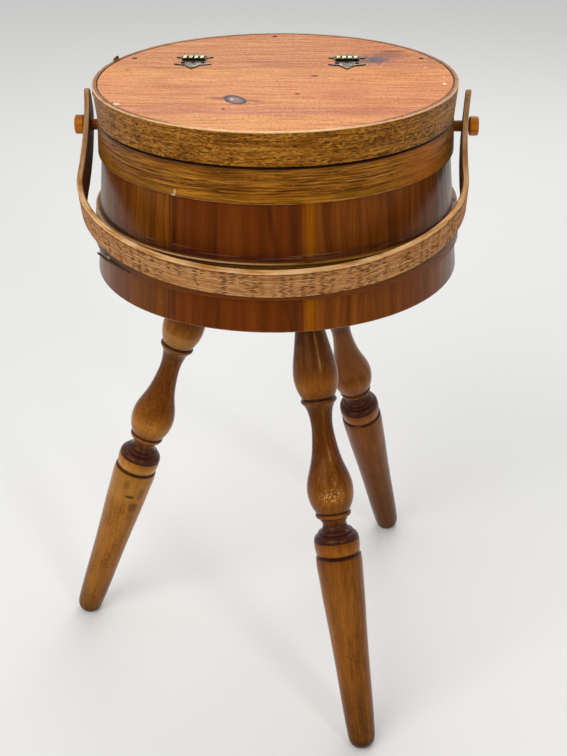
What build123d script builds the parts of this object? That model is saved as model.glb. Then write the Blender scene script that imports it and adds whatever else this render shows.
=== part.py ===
"""A coopered sewing tub on three turned legs, with a bail handle and a lid in two pieces.

Millimetres, +Z up, standing on the floor at Z = 0 with the front towards -Y.  The origin is
the middle of the whole piece's outline on the floor; the tub's own axis stands a little to
one side of it, because three splayed legs are not symmetrical about the tub.
"""

import os
from math import asin, atan, atan2, cos, degrees, hypot, radians, sin, sqrt

from build123d import *

# ------------------------------------------------------------------ driving dimensions
stand_height = 565.0  # top of the lid above the floor
seat_gap = 0.15  # between wooden pieces that are fitted together
slip = 0.1  # round a nail or screw in its own hole

# tub
tub_height = 132.6  # length of a stave
rim_radius = 145.6  # outside of the staves at the rim
base_radius = 157.6  # outside of the staves at the bottom end
stave_thickness = 11.0
stave_seams = (-120.5, -80.0, -27.0, 36.0, 84.0, 128.0, 172.0)  # degrees from +X
stave_joint = 0.2  # width of the joint line between two staves
stave_edge = 0.8  # bevel round the foot of the staves
bottom_thickness = 12.0
bottom_recess = 14.0  # from the stave ends up to the underside of the bottom
croze_depth = 3.0  # groove in the staves that holds the bottom

# hoops: thickness at the upper and at the lower edge
hoop_width = 28.6
upper_hoop_thickness = (4.0, 2.7)
lower_hoop_drop = 74.6  # from the rim down to the lower hoop's upper edge
lower_hoop_width = 30.2
lower_hoop_thickness = (3.7, 3.4)
hoop_edge = 0.7  # bevel of a hoop's outer edges

# where the two ends of a bent strip lap over each other
lap_step = 1.4  # how far the outer end stands proud
lap_span = 28.0  # degrees over which it rises
lap_lead = 5.0  # degrees of it hidden in the strip
lap_edge = 0.6  # bevel of its edges
upper_lap_end = 150.0  # degrees from +X, at the back on the left
lower_lap_end = 147.0
band_lap_end = 140.0
lap_tack_back = (3.0, 3.0, 10.0)  # degrees of each tack from the outer end
lap_tack_rise = (8.0, -8.0, 0.0)  # from the middle of the strip
band_brad_back = (3.5, 10.5)
lap_head_gap = 0.05  # under the heads on a lap, whose face is not quite square to them
tack_radius = 0.7
tack_head = 1.9
tack_head_height = 0.6
tack_length = 9.0

# lid
lid_clearance = 0.2  # between the band and the rim of the staves
lid_flare = 2.7  # how much wider the band is at its upper edge
lid_band_height = 28.0
lid_band_thickness = 4.0
lid_lift = 0.4  # daylight between the hinged lid and the rim
board_thickness = 12.0
board_edge = 1.0  # bevel round the top of the board
band_edge = 0.6  # bevel of the band's outer edges
seam_y = 49.0  # the lid is cut across here, behind the middle
seam_gap = 1.2  # saw cut between the two pieces of the lid

# hinges
hinge_places = (-73.0, 60.0)  # middle of each hinge along the seam
leaf_thickness = 1.1
leaf_gap = 0.3  # from the pin's plane to the edge of a leaf
leaf_neck = 9.9  # half the width of a leaf at its barrel
leaf_throat = 4.0  # distance from the pin to where the ears begin
leaf_ear_curve = (11.5, 8.2)  # half width and distance from the pin on the curve to an ear
leaf_ear = (16.2, 11.0)  # the ear's point
leaf_shoulder_curve = (11.6, 13.6)
leaf_shoulder = (7.0, 14.2)
leaf_point_curve = (3.4, 20.6)
leaf_point = 26.3  # distance from the pin to the leaf's point
barrel_radius = 2.3
pin_height = 2.6  # of the hinge pin above the lid
pin_radius = 1.0
pin_rounding = 0.4
pin_bore = 1.2
knuckle_count = 4
knuckle_gap = 0.25
leaf_nails = ((0.0, 6.0), (-8.7, 9.6), (8.7, 9.6))

# nails and brads
bore_start = 1.0  # of the cut for a nail's hole before the surface
nail_radius = 0.9
hinge_nail_head = 1.7
hinge_nail_head_height = 0.7
hinge_nail_length = 8.0
board_nail_head = 2.2
board_nail_head_height = 0.3
board_nail_length = 24.0
board_nail_angles = (25.9, 92.6, 155.2)
brad_radius = 0.7
brad_head = 1.4
brad_head_height = 0.5
brad_length = 11.0
front_brad_angles = (-168.0, -132.0, -96.0, -60.0, -24.0, 8.0)
rear_brad_angles = (38.0, 72.0, 106.0, 152.0)

# handle
peg_drop = 41.5  # from the lid's top down to the pegs
handle_droop = 23.9  # degrees below level when it rests on the lower hoop in front
handle_rest_gap = 0.35  # between the bow and the lower hoop
bow_depth = 104.0  # of the elliptical bow
arm_clearance = 0.7  # between the lid and an arm where the bow starts
arm_spread = 4.0  # how much further out an arm is at its peg
arm_tail = 37.0  # of each arm past its peg
handle_width = 27.4
handle_thickness = 5.0
handle_tip_radius = 10.0
handle_edge = 0.8  # bevel of its long edges
handle_bore = 5.2

# pegs
peg_radius = 4.75
peg_head_radius = 8.2
peg_head_gap = 0.3  # between a peg's head and the handle
peg_head_length = 7.78
peg_stub = 1.2  # of a peg past the inside of its stave
peg_hole_overrun = 5.0  # of the cut for a peg's hole past the peg
peg_rounding = 1.4

# legs
# Each plate was set by hand: the leg axis's distance from the tub axis and its angle, level with
# the stave ends, and the angle in which the leg leans out.  Angles are degrees from +X.
leg_places = {"left": (63.6, 164.1, 183.4), "front": (60.0, 294.4, 293.9), "right": (66.5, 58.5, 54.8)}
leg_spread = 141.4  # how far a leg leans out from there to the floor
leg_rise = 5.2  # of a leg above the stave ends, inside the recess
foot_rounding = 9.0  # length of the rounded end of a leg
foot_shoulder = 10.3  # its radius a third of the way from the end
foot_crown = 1.5  # of the rounded end past the floor, before it is cut flat
leg_tenon_radius = 15.0
leg_tenon_end = 5.0
foot_inset = 0.2  # from the shaft in to the rounded end
# The turning, as (radius, distance down the leg's axis from the level of the stave ends).
leg_neck = (
    (12.2, 7.0),
    (11.2, 24.0),
    (13.7, 47.0),
    (18.4, 71.0),
    (19.6, 83.0),
    (18.7, 91.0),
    (16.5, 98.0),
    (14.4, 102.4),
)
leg_ring = ((14.6, 102.8), (15.8, 104.4), (15.2, 106.6))
leg_vase = (
    (15.2, 106.6),
    (12.4, 110.4),
    (10.7, 116.0),
    (9.5, 126.0),
    (10.5, 141.0),
    (14.4, 161.0),
    (18.7, 174.0),
    (20.5, 185.0),
    (19.4, 195.0),
    (17.0, 201.6),
    (14.8, 205.2),
)
leg_bead = ((14.9, 205.6), (15.9, 207.2), (15.3, 209.4))
leg_bead_step = ((15.3, 209.4), (12.3, 211.6), (12.1, 212.8))
leg_cove = ((11.4, 213.4), (10.7, 217.6), (14.9, 222.4))
leg_collar_ring = ((15.1, 222.8), (15.8, 223.8), (15.3, 224.8))
leg_shoulder = (
    (16.9, 225.4),
    (19.2, 227.6),
    (20.2, 232.0),
    (20.1, 238.0),
    (19.4, 242.8),
)
leg_groove = ((19.4, 242.8), (18.3, 244.4), (19.6, 245.6))
leg_shaft = (
    (20.3, 246.2),
    (20.6, 250.0),
    (20.2, 262.0),
    (19.3, 281.0),
    (17.8, 306.0),
    (16.1, 336.0),
    (13.6, 398.0),
    (12.4, 418.0),
)
leg_plate_size = 52.0
leg_plate_corner = 5.0
leg_plate_thickness = 2.5
leg_boss_radius = 13.5
leg_bolt_radius = 4.0
leg_bolt_in_leg = 34.0
leg_bolt_in_boss = 4.0
leg_bolt_bevel = 0.8
screw_radius = 1.9
screw_head_radius = 3.6
screw_head_height = 1.6
screw_length = 9.0
screw_inset = 6.5

# ------------------------------------------------------------------ derived places
lid_top = stand_height
lid_foot = lid_top - lid_band_height
rim = lid_foot - lid_lift
stave_foot = rim - tub_height
stave_flare = (base_radius - rim_radius) / tub_height
board_underside = lid_top - board_thickness
bottom_underside = stave_foot + bottom_recess
bottom_top = bottom_underside + bottom_thickness
peg_z = lid_top - peg_drop
pin_z = lid_top + pin_height
lower_hoop_top = rim - lower_hoop_drop
lower_hoop_low = lower_hoop_top - lower_hoop_width
lid_skirt_radius = rim_radius + lid_clearance + lid_band_thickness  # outside of the band at its lower edge
lid_radius = lid_skirt_radius + lid_flare  # and at its upper edge
band_flare = (lid_radius - lid_skirt_radius) / lid_band_height
leg_tilt = degrees(atan2(leg_spread, stave_foot))
leg_length = hypot(leg_spread, stave_foot)


full_turn = 360.0
half_turn = 180.0


def stave_radius(height):
    """Outside radius of the staves at a height above the floor."""
    return rim_radius + (rim - height) * stave_flare


def band_radius(height):
    """Outside radius of the lid's band at a height above the floor."""
    return lid_radius - (lid_top - height) * band_flare


def ring(points, start=0.0, arc=full_turn):
    """A solid turned about the tub's axis from (radius, height) corners."""
    with BuildPart() as turned:
        with BuildSketch(Plane.XZ.rotated((0, 0, start))):
            with BuildLine():
                Polyline(*points, close=True)
            make_face()
        revolve(axis=Axis.Z, revolution_arc=arc)
    return turned.part


def radial_plane(angle, radius, height, tilt=0.0):
    """A plane whose normal points out from the tub's axis at a place on its wall."""
    a = radians(angle)
    origin = (radius * cos(a), radius * sin(a), height)
    t = radians(tilt)
    outward = (cos(a) * cos(t), sin(a) * cos(t), sin(t))
    return Plane(origin=origin, x_dir=(-sin(a), cos(a), 0), z_dir=outward)


base = (Align.CENTER, Align.CENTER, Align.MIN)  # a primitive standing on its plane


def lap_shift(radius):
    """How far the lap's cone stands off the tub's axis to rise by its step over its span."""
    proud = radius + lap_step
    return (proud**2 - radius**2) / (2 * (proud - radius * cos(radians(lap_span))))


def lap_radius(radius, back):
    """Outside radius of the lap on a strip of this radius, some degrees back from its outer end."""
    shift = lap_shift(radius)
    inner = radius + lap_step - shift
    b = radians(back)
    return shift * cos(b) + sqrt(inner**2 - (shift * sin(b)) ** 2)


def lapped(strip, top, top_radius, low, low_radius, end):
    """A bent strip with the outer end of its lap fused on: it rises slowly and stops in a square edge."""
    shift = lap_shift((top_radius + low_radius) / 2)
    grow = lap_step - shift
    depth = 2 * lap_step
    sector = ring(
        [
            (top_radius - depth, top),
            (top_radius + depth, top),
            (low_radius + depth, low),
            (low_radius - depth, low),
        ],
        end - lap_span - lap_lead,
        lap_span + lap_lead,
    )
    with BuildPart() as tongue:
        with Locations((shift * cos(radians(end)), shift * sin(radians(end)), low)):
            Cone(low_radius + grow, top_radius + grow, top - low, align=base)
        chamfer(tongue.edges().filter_by(GeomType.CIRCLE), lap_edge)
        add(sector, mode=Mode.INTERSECT)
    with BuildPart() as whole:
        add([strip, tongue.part])
    return whole.part
pieces = {}


def finish(name, *solids):
    """Keep a finished piece, or a group of equal ones, for writing."""
    pieces[name] = [solid for shape in solids for solid in shape.solids()]


# ------------------------------------------------------------------ nails, brads and their holes
def nail(plane, radius, length, head_radius, head_height):
    """A nail driven along a plane's normal, its domed head standing on the plane."""
    with BuildPart() as driven:
        with BuildSketch(plane):
            Circle(radius)
        extrude(amount=-length)
        with BuildSketch(plane):
            Circle(head_radius)
        extrude(amount=head_height)
        fillet(driven.faces().sort_by(Axis(plane.origin, plane.z_dir))[-1].edges(), head_height * 0.8)
    return driven.part


def bore(plane, radius, length):
    """The hole that a nail or screw of the same length needs."""
    with BuildPart() as hole:
        with BuildSketch(plane.offset(bore_start)):
            Circle(radius)
        extrude(amount=-length - bore_start - slip)
    return hole.part


def driven_set(planes, radius, length, head_radius, head_height):
    """Nails at several places, and the holes for them."""
    nails = [nail(p, radius, length, head_radius, head_height) for p in planes]
    holes = [bore(p, radius + slip, length) for p in planes]
    return nails, holes


front_hinge_planes = [
    Plane(origin=(x + u, seam_y - v, lid_top + leaf_thickness)) for x in hinge_places for u, v in leaf_nails
]
rear_hinge_planes = [
    Plane(origin=(x + u, seam_y + v, lid_top + leaf_thickness)) for x in hinge_places for u, v in leaf_nails
]
board_nail_radius = stave_radius(board_underside) - stave_thickness / 2
board_nail_planes = [
    Plane(origin=(board_nail_radius * cos(radians(a)), board_nail_radius * sin(radians(a)), lid_top))
    for a in board_nail_angles
]
brad_height = lid_top - board_thickness / 2
brad_tilt = -degrees(atan(band_flare))
front_brad_planes = [
    radial_plane(a, band_radius(brad_height), brad_height, brad_tilt) for a in front_brad_angles
]
rear_brad_planes = [
    radial_plane(a, band_radius(brad_height), brad_height, brad_tilt) for a in rear_brad_angles
]
for back in band_brad_back:
    lap_face = lap_radius(band_radius(brad_height), back) + lap_head_gap
    rear_brad_planes.append(radial_plane(band_lap_end - back, lap_face, brad_height, brad_tilt))


def hoop_radius(height, top, width, thickness):
    """Outside radius of a hoop at a height above the floor."""
    share = (top - height) / width
    return stave_radius(height) + seat_gap + thickness[0] + share * (thickness[1] - thickness[0])


def lap_tack_planes(top, width, thickness, end):
    """Where a hoop's tacks stand, on the outer end of its lap."""
    flare = hoop_radius(top - width, top, width, thickness) - hoop_radius(top, top, width, thickness)
    tilt = degrees(atan(flare / width))
    planes = []
    for back, rise in zip(lap_tack_back, lap_tack_rise):
        height = top - width / 2 + rise
        radius = lap_radius(hoop_radius(height, top, width, thickness), back) + lap_head_gap
        planes.append(radial_plane(end - back, radius, height, tilt))
    return planes


# ------------------------------------------------------------------ the run of the handle, out to its pegs
droop = radians(handle_droop)
handle_plane = Plane(origin=(0, 0, peg_z), x_dir=(1, 0, 0), z_dir=(0, sin(droop), -cos(droop)))
# The bow's lower inner edge just clears the lower hoop's face.
hoop_at_top = hoop_radius(lower_hoop_top, lower_hoop_top, lower_hoop_width, lower_hoop_thickness)
hoop_at_low = hoop_radius(lower_hoop_low, lower_hoop_top, lower_hoop_width, lower_hoop_thickness)
hoop_slope = (hoop_at_low - hoop_at_top) / lower_hoop_width
edge_offset = handle_width / 2 - handle_edge
edge_level = peg_z - edge_offset * cos(droop)
edge_back = edge_offset * sin(droop)
hoop_at_edge = hoop_at_top + hoop_slope * (lower_hoop_top - edge_level)
handle_reach = (hoop_at_edge + edge_back + handle_rest_gap) / (cos(droop) - hoop_slope * sin(droop))
bow_start = handle_reach - bow_depth
arm_inside = lid_radius + arm_clearance
arm_curve = bow_start**2 / (2 * arm_spread)
arm_tip = arm_inside + (bow_start + arm_tail) ** 2 / (2 * arm_curve)
arm_under_head = arm_inside + (bow_start + peg_head_radius) ** 2 / (2 * arm_curve) + handle_thickness
peg_head_start = arm_under_head + peg_head_gap
peg_end = peg_head_start + peg_head_length
peg_inner_end = stave_radius(peg_z) - stave_thickness - peg_stub

tack_planes = lap_tack_planes(rim, hoop_width, upper_hoop_thickness, upper_lap_end)
tack_planes += lap_tack_planes(lower_hoop_top, lower_hoop_width, lower_hoop_thickness, lower_lap_end)

front_hinge_nails, front_hinge_holes = driven_set(
    front_hinge_planes, nail_radius, hinge_nail_length, hinge_nail_head, hinge_nail_head_height
)
rear_hinge_nails, rear_hinge_holes = driven_set(
    rear_hinge_planes, nail_radius, hinge_nail_length, hinge_nail_head, hinge_nail_head_height
)
board_nails, board_nail_holes = driven_set(
    board_nail_planes, nail_radius, board_nail_length, board_nail_head, board_nail_head_height
)
front_brads, front_brad_holes = driven_set(
    front_brad_planes, brad_radius, brad_length, brad_head, brad_head_height
)
rear_brads, rear_brad_holes = driven_set(
    rear_brad_planes, brad_radius, brad_length, brad_head, brad_head_height
)

hoop_tacks, hoop_tack_holes = driven_set(
    tack_planes, tack_radius, tack_length, tack_head, tack_head_height
)

# ------------------------------------------------------------------ staves and bottom
stave_section = [
    (stave_radius(stave_foot) - stave_edge, stave_foot),
    (stave_radius(stave_foot + stave_edge), stave_foot + stave_edge),
    (stave_radius(board_underside), board_underside),
    (stave_radius(board_underside) - stave_thickness, board_underside),
    (stave_radius(bottom_top) - stave_thickness, bottom_top + seat_gap),
    (stave_radius(bottom_top) - stave_thickness + croze_depth, bottom_top + seat_gap),
    (stave_radius(bottom_underside) - stave_thickness + croze_depth, bottom_underside - seat_gap),
    (stave_radius(bottom_underside) - stave_thickness, bottom_underside - seat_gap),
    (stave_radius(stave_foot) - stave_thickness, stave_foot),
]
peg_holes = []
for side in (0.0, 180.0):
    with BuildPart() as peg_hole:
        with BuildSketch(radial_plane(side, peg_inner_end - peg_hole_overrun, peg_z)):
            Circle(peg_radius + seat_gap)
        extrude(amount=peg_end - peg_inner_end)
    peg_holes.append(peg_hole.part)

next_seams = stave_seams[1:] + (stave_seams[0] + full_turn,)
joint_angle = degrees(asin(stave_joint / rim_radius))
for index, (start, end) in enumerate(zip(stave_seams, next_seams), start=1):
    blank = ring(stave_section, start + joint_angle / 2, end - start - joint_angle)
    with BuildPart() as stave:
        add(blank)
        with BuildSketch(Plane.XY.offset(rim)):
            with Locations((0, seam_y + seam_gap / 2 - base_radius)):
                Rectangle(3 * base_radius, 2 * base_radius)
        extrude(amount=stand_height - rim, mode=Mode.SUBTRACT)
        add(peg_holes + board_nail_holes + hoop_tack_holes, mode=Mode.SUBTRACT)
    finish(f"stave_{index}", stave.part)

plate_planes = {}
bolt_planes = {}
screw_planes = []
for name, (top_radius, top_angle, lean) in leg_places.items():
    out = Vector(cos(radians(lean)), sin(radians(lean)), 0)
    leg_origin = Vector(
        top_radius * cos(radians(top_angle)), top_radius * sin(radians(top_angle)), stave_foot
    )
    plate_low = bottom_underside - leg_plate_thickness
    plate_centre = leg_origin - out * ((plate_low - stave_foot) * leg_spread / stave_foot)
    plate_planes[name] = Plane(
        origin=(plate_centre.X, plate_centre.Y, bottom_underside), x_dir=out, z_dir=(0, 0, -1)
    )
    down = Vector(sin(radians(leg_tilt)) * out.X, sin(radians(leg_tilt)) * out.Y, -cos(radians(leg_tilt)))
    bolt_planes[name] = Plane(origin=leg_origin, x_dir=(-out.Y, out.X, 0), z_dir=down)
    reach = leg_plate_size / 2 - screw_inset
    for u in (-reach, reach):
        for v in (-reach, reach):
            place = plate_planes[name].from_local_coords(Vector(u, v, leg_plate_thickness))
            screw_planes.append(Plane(origin=place, z_dir=(0, 0, -1)))
plate_screws, plate_screw_holes = driven_set(
    screw_planes, screw_radius, screw_length, screw_head_radius, screw_head_height
)

groove_low = stave_radius(bottom_underside) - stave_thickness + croze_depth - seat_gap
groove_high = stave_radius(bottom_top) - stave_thickness + croze_depth - seat_gap
with BuildPart() as bottom_board:
    with Locations((0, 0, bottom_underside)):
        Cone(groove_low, groove_high, bottom_thickness, align=base)
    add(plate_screw_holes, mode=Mode.SUBTRACT)
finish("bottom_board", bottom_board.part)


# ------------------------------------------------------------------ hoops
def bent_strip(inner, outer, top, low, edge):
    """A strip bent round the tub from its radii at the top and at the low edge, its outer edges bevelled."""
    blank = ring([(inner[0], top), (outer[0], top), (outer[1], low), (inner[1], low)])
    with BuildPart() as strip:
        add(blank)
        rims = strip.edges().filter_by(GeomType.CIRCLE).group_by(Axis.Z)
        chamfer([rims[0].sort_by(SortBy.RADIUS)[-1], rims[-1].sort_by(SortBy.RADIUS)[-1]], edge)
    return strip.part


def hoop(top, width, thickness, lap_end):
    """A bent oak hoop lying on the staves' cone, lapped at the back."""
    low = top - width
    inner = [stave_radius(z) + seat_gap for z in (top, low)]
    outer = [hoop_radius(z, top, width, thickness) for z in (top, low)]
    strip = bent_strip(inner, outer, top, low, hoop_edge)
    whole = lapped(strip, top, outer[0], low, outer[1], lap_end)
    with BuildPart() as band:
        add(whole)
        add(peg_holes + hoop_tack_holes, mode=Mode.SUBTRACT)
    return band.part


finish("upper_hoop", hoop(rim, hoop_width, upper_hoop_thickness, upper_lap_end))
finish("lower_hoop", hoop(lower_hoop_top, lower_hoop_width, lower_hoop_thickness, lower_lap_end))

# ------------------------------------------------------------------ the lid in two pieces
board_rim_top = lid_radius - lid_band_thickness - seat_gap
board_rim_low = band_radius(board_underside) - lid_band_thickness - seat_gap
rear_band_low = band_radius(rim)
front_blank = bent_strip(
    (lid_radius - lid_band_thickness, lid_skirt_radius - lid_band_thickness),
    (lid_radius, lid_skirt_radius),
    lid_top,
    lid_foot,
    band_edge,
)
rear_blank = bent_strip(
    (lid_radius - lid_band_thickness, rear_band_low - lid_band_thickness),
    (lid_radius, rear_band_low),
    lid_top,
    rim,
    band_edge,
)
rear_blank = lapped(rear_blank, lid_top, lid_radius, rim, rear_band_low, band_lap_end)
front_edge = Plane.XZ.offset(-(seam_y - seam_gap / 2))
rear_edge = Plane.XZ.offset(-(seam_y + seam_gap / 2))

with BuildPart() as front_board:
    with Locations((0, 0, board_underside)):
        Cone(board_rim_low, board_rim_top, board_thickness, align=base)
    split(bisect_by=front_edge, keep=Keep.TOP)
    chamfer(front_board.edges().filter_by(GeomType.CIRCLE).sort_by(Axis.Z)[-1], board_edge)
    add(front_hinge_holes + front_brad_holes, mode=Mode.SUBTRACT)
finish("front_board", front_board.part)

with BuildPart() as front_band:
    add(front_blank)
    split(bisect_by=front_edge, keep=Keep.TOP)
    add(front_brad_holes, mode=Mode.SUBTRACT)
finish("front_band", front_band.part)

with BuildPart() as rear_board:
    with Locations((0, 0, board_underside)):
        Cone(board_rim_low, board_rim_top, board_thickness, align=base)
    split(bisect_by=rear_edge, keep=Keep.BOTTOM)
    chamfer(rear_board.edges().filter_by(GeomType.CIRCLE).sort_by(Axis.Z)[-1], board_edge)
    add(rear_hinge_holes + rear_brad_holes + board_nail_holes, mode=Mode.SUBTRACT)
finish("rear_board", rear_board.part)

with BuildPart() as rear_band:
    add(rear_blank)
    split(bisect_by=rear_edge, keep=Keep.BOTTOM)
    add(rear_brad_holes, mode=Mode.SUBTRACT)
finish("rear_band", rear_band.part)


# ------------------------------------------------------------------ hinges
def pin_end_plane(place):
    """A plane across the left end of a hinge's pin, looking along it."""
    return Plane(origin=(place - leaf_neck, seam_y, pin_z), x_dir=(0, 1, 0), z_dir=(1, 0, 0))


def leaf(place, forward, own_knuckles, holes):
    """One pointed leaf, lying on the lid to the front (-1) or rear (+1) of the pin."""
    face = Plane(origin=(place, seam_y, lid_top), x_dir=(1, 0, 0), z_dir=(0, 0, 1))
    pitch = 2 * leaf_neck / knuckle_count
    with BuildPart() as plate:
        with BuildSketch(face):
            with BuildLine():
                for hand in (-1, 1):
                    neck = (hand * leaf_neck, forward * leaf_gap)
                    throat = (hand * leaf_neck, forward * leaf_throat)
                    ear = (hand * leaf_ear[0], forward * leaf_ear[1])
                    shoulder = (hand * leaf_shoulder[0], forward * leaf_shoulder[1])
                    ear_curve = (hand * leaf_ear_curve[0], forward * leaf_ear_curve[1])
                    shoulder_curve = (hand * leaf_shoulder_curve[0], forward * leaf_shoulder_curve[1])
                    point_curve = (hand * leaf_point_curve[0], forward * leaf_point_curve[1])
                    Line(neck, throat)
                    ThreePointArc(throat, ear_curve, ear)
                    ThreePointArc(ear, shoulder_curve, shoulder)
                    ThreePointArc(shoulder, point_curve, (0, forward * leaf_point))
                Line((-leaf_neck, forward * leaf_gap), (leaf_neck, forward * leaf_gap))
            make_face()
        extrude(amount=leaf_thickness)
        for index in range(knuckle_count):
            span = pitch - knuckle_gap
            left = place - leaf_neck + index * pitch + knuckle_gap / 2
            side = Plane(origin=(left, seam_y, pin_z), x_dir=(0, 1, 0), z_dir=(1, 0, 0))
            if index in own_knuckles:
                with BuildSketch(side):
                    Circle(barrel_radius)
                extrude(amount=span)
            else:
                with BuildSketch(side.offset(-knuckle_gap)):
                    Circle(barrel_radius + knuckle_gap)
                    with Locations((-forward * barrel_radius, -pin_height)):
                        Rectangle(2 * barrel_radius, 2 * pin_height)
                extrude(amount=span + 2 * knuckle_gap, mode=Mode.SUBTRACT)
        with BuildSketch(pin_end_plane(place)):
            Circle(pin_bore)
        extrude(amount=2 * leaf_neck, mode=Mode.SUBTRACT)
        add(holes, mode=Mode.SUBTRACT)
    return plate.part


odd_knuckles = range(0, knuckle_count, 2)
even_knuckles = range(1, knuckle_count, 2)
for side, place in zip(("left", "right"), hinge_places):
    finish(f"front_leaf_{side}", leaf(place, -1, odd_knuckles, front_hinge_holes))
    finish(f"rear_leaf_{side}", leaf(place, 1, even_knuckles, rear_hinge_holes))
    with BuildPart() as pin:
        with BuildSketch(pin_end_plane(place)):
            Circle(pin_radius)
        extrude(amount=2 * leaf_neck)
        fillet(pin.edges().filter_by(GeomType.CIRCLE), pin_rounding)
    finish(f"hinge_pin_{side}", pin.part)

# ------------------------------------------------------------------ handle and pegs
with BuildPart() as handle:
    with BuildSketch(handle_plane):
        with BuildLine():
            for grow in (0.0, handle_thickness):
                half = arm_inside + grow
                depth = bow_depth + grow
                EllipticalCenterArc((0, bow_start), half, depth, start_angle=0, arc_size=half_turn)
                for hand in (-1, 1):
                    TangentArc(
                        (hand * half, bow_start), (hand * (arm_tip + grow), -arm_tail), tangent=(0, -1)
                    )
            for hand in (-1, 1):
                Line((hand * arm_tip, -arm_tail), (hand * (arm_tip + handle_thickness), -arm_tail))
        make_face()
    extrude(amount=handle_width / 2, both=True)
    tip_edges = handle.edges().filter_by(GeomType.LINE).filter_by(Axis.X)
    fillet(tip_edges, handle_tip_radius)
    side = Axis(handle_plane.origin, handle_plane.z_dir)
    faces = handle.faces().sort_by(side)
    chamfer(faces[0].edges() + faces[-1].edges(), handle_edge)
    with BuildSketch(Plane(origin=(-peg_end, 0, peg_z), x_dir=(0, 1, 0), z_dir=(1, 0, 0))):
        Circle(handle_bore)
    extrude(amount=2 * peg_end, mode=Mode.SUBTRACT)
finish("handle", handle.part)

for side, hand in (("left", 180.0), ("right", 0.0)):
    with BuildPart() as peg:
        with BuildSketch(radial_plane(hand, peg_inner_end, peg_z)):
            Circle(peg_radius)
        extrude(amount=peg_end - peg_inner_end)
        with BuildSketch(radial_plane(hand, peg_head_start, peg_z)):
            Circle(peg_head_radius)
        extrude(amount=peg_end - peg_head_start)
        head_edges = [e for e in peg.edges().filter_by(GeomType.CIRCLE) if e.radius > (peg_radius + peg_head_radius) / 2]
        fillet(head_edges, peg_rounding)
    finish(f"peg_{side}", peg.part)

# ------------------------------------------------------------------ legs
for name, plane in bolt_planes.items():
    section = Plane(origin=plane.origin, x_dir=plane.x_dir, z_dir=plane.x_dir.cross(plane.z_dir))
    shaft_radius = leg_shaft[-1][0] - foot_inset
    with BuildPart() as leg:
        with BuildSketch(section):
            with BuildLine():
                Polyline(
                    (0, -leg_rise),
                    (leg_tenon_radius, -leg_rise),
                    (leg_tenon_radius, leg_tenon_end),
                    leg_neck[0],
                )
                Spline(*leg_neck)
                Line(leg_neck[-1], leg_ring[0])
                ThreePointArc(*leg_ring)
                Spline(*leg_vase)
                Line(leg_vase[-1], leg_bead[0])
                ThreePointArc(*leg_bead)
                Polyline(*leg_bead_step, leg_cove[0])
                ThreePointArc(*leg_cove)
                Line(leg_cove[-1], leg_collar_ring[0])
                ThreePointArc(*leg_collar_ring)
                Line(leg_collar_ring[-1], leg_shoulder[0])
                Spline(*leg_shoulder)
                Polyline(*leg_groove, leg_shaft[0])
                Spline(*leg_shaft)
                Line(leg_shaft[-1], (shaft_radius, leg_length - foot_rounding))
                Spline(
                    (shaft_radius, leg_length - foot_rounding),
                    (foot_shoulder, leg_length - foot_rounding / 3),
                    (0, leg_length + foot_crown),
                    tangents=((-0.08, 1), (-1, 0)),
                )
                Line((0, leg_length + foot_crown), (0, -leg_rise))
            make_face()
        revolve(axis=Axis(plane.origin, plane.z_dir))
        split(bisect_by=Plane.XY, keep=Keep.TOP)
        with BuildSketch(plane.offset(-leg_rise)):
            Circle(leg_bolt_radius + slip)
        extrude(amount=leg_bolt_in_leg + slip, mode=Mode.SUBTRACT)
    finish(f"leg_{name}", leg.part)

    with BuildPart() as leg_plate:
        with BuildSketch(plate_planes[name]):
            RectangleRounded(leg_plate_size, leg_plate_size, leg_plate_corner)
        extrude(amount=leg_plate_thickness)
        with BuildSketch(plane.offset(-leg_rise - seat_gap)):
            Circle(leg_boss_radius)
        extrude(amount=-2 * leg_boss_radius)
        split(bisect_by=Plane.XY.offset(bottom_underside), keep=Keep.BOTTOM)
        with BuildSketch(plane.offset(-leg_rise - seat_gap)):
            Circle(leg_bolt_radius + slip)
        extrude(amount=-leg_bolt_in_boss - slip, mode=Mode.SUBTRACT)
        add(plate_screw_holes, mode=Mode.SUBTRACT)
    finish(f"leg_plate_{name}", leg_plate.part)

bolts = []
for plane in bolt_planes.values():
    with BuildPart() as bolt:
        with BuildSketch(plane.offset(-leg_rise - seat_gap - leg_bolt_in_boss)):
            Circle(leg_bolt_radius)
        extrude(amount=leg_bolt_in_boss + seat_gap + leg_bolt_in_leg)
        chamfer(bolt.edges().filter_by(GeomType.CIRCLE), leg_bolt_bevel)
    bolts.append(bolt.part)

# ------------------------------------------------------------------ groups of fasteners
groups = {
    "front_hinge_nails": front_hinge_nails,
    "rear_hinge_nails": rear_hinge_nails,
    "rear_board_nails": board_nails,
    "front_band_brads": front_brads,
    "rear_band_brads": rear_brads,
    "hoop_tacks": hoop_tacks,
    "plate_screws": plate_screws,
    "hanger_bolts": bolts,
}
for name, solids in groups.items():
    finish(name, *solids)

# ------------------------------------------------------------------ write every piece
outline = Compound([solid for solids in pieces.values() for solid in solids]).bounding_box()
stance = Location((-outline.center().X, -outline.center().Y, 0))
os.makedirs("parts", exist_ok=True)
for name, solids in pieces.items():
    moved = [solid.moved(stance) for solid in solids]
    placed = Compound(moved) if len(moved) > 1 else moved[0]
    placed.label = name
    export_step(placed, f"parts/{name}.step")
print("tub axis at", stance.position)
print("outline", outline)
print("peg height", peg_z, "pin", seam_y, pin_z, "leg tilt", leg_tilt, "handle reach", handle_reach, peg_end, peg_inner_end)
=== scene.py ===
"""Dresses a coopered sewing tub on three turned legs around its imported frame.

The tub has seven stained staves, two bent oak hoops, a bail handle on two pegs and a round
pine lid whose front part swings up on a pair of pointed brass hinges.  Each sub-assembly is a
class that holds its sizes, builds the pieces that the frame lacks and gives every piece its
finish.  Lengths are in metres, and angles in degrees from +X, where nothing else is said.
"""

from __future__ import annotations

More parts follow.
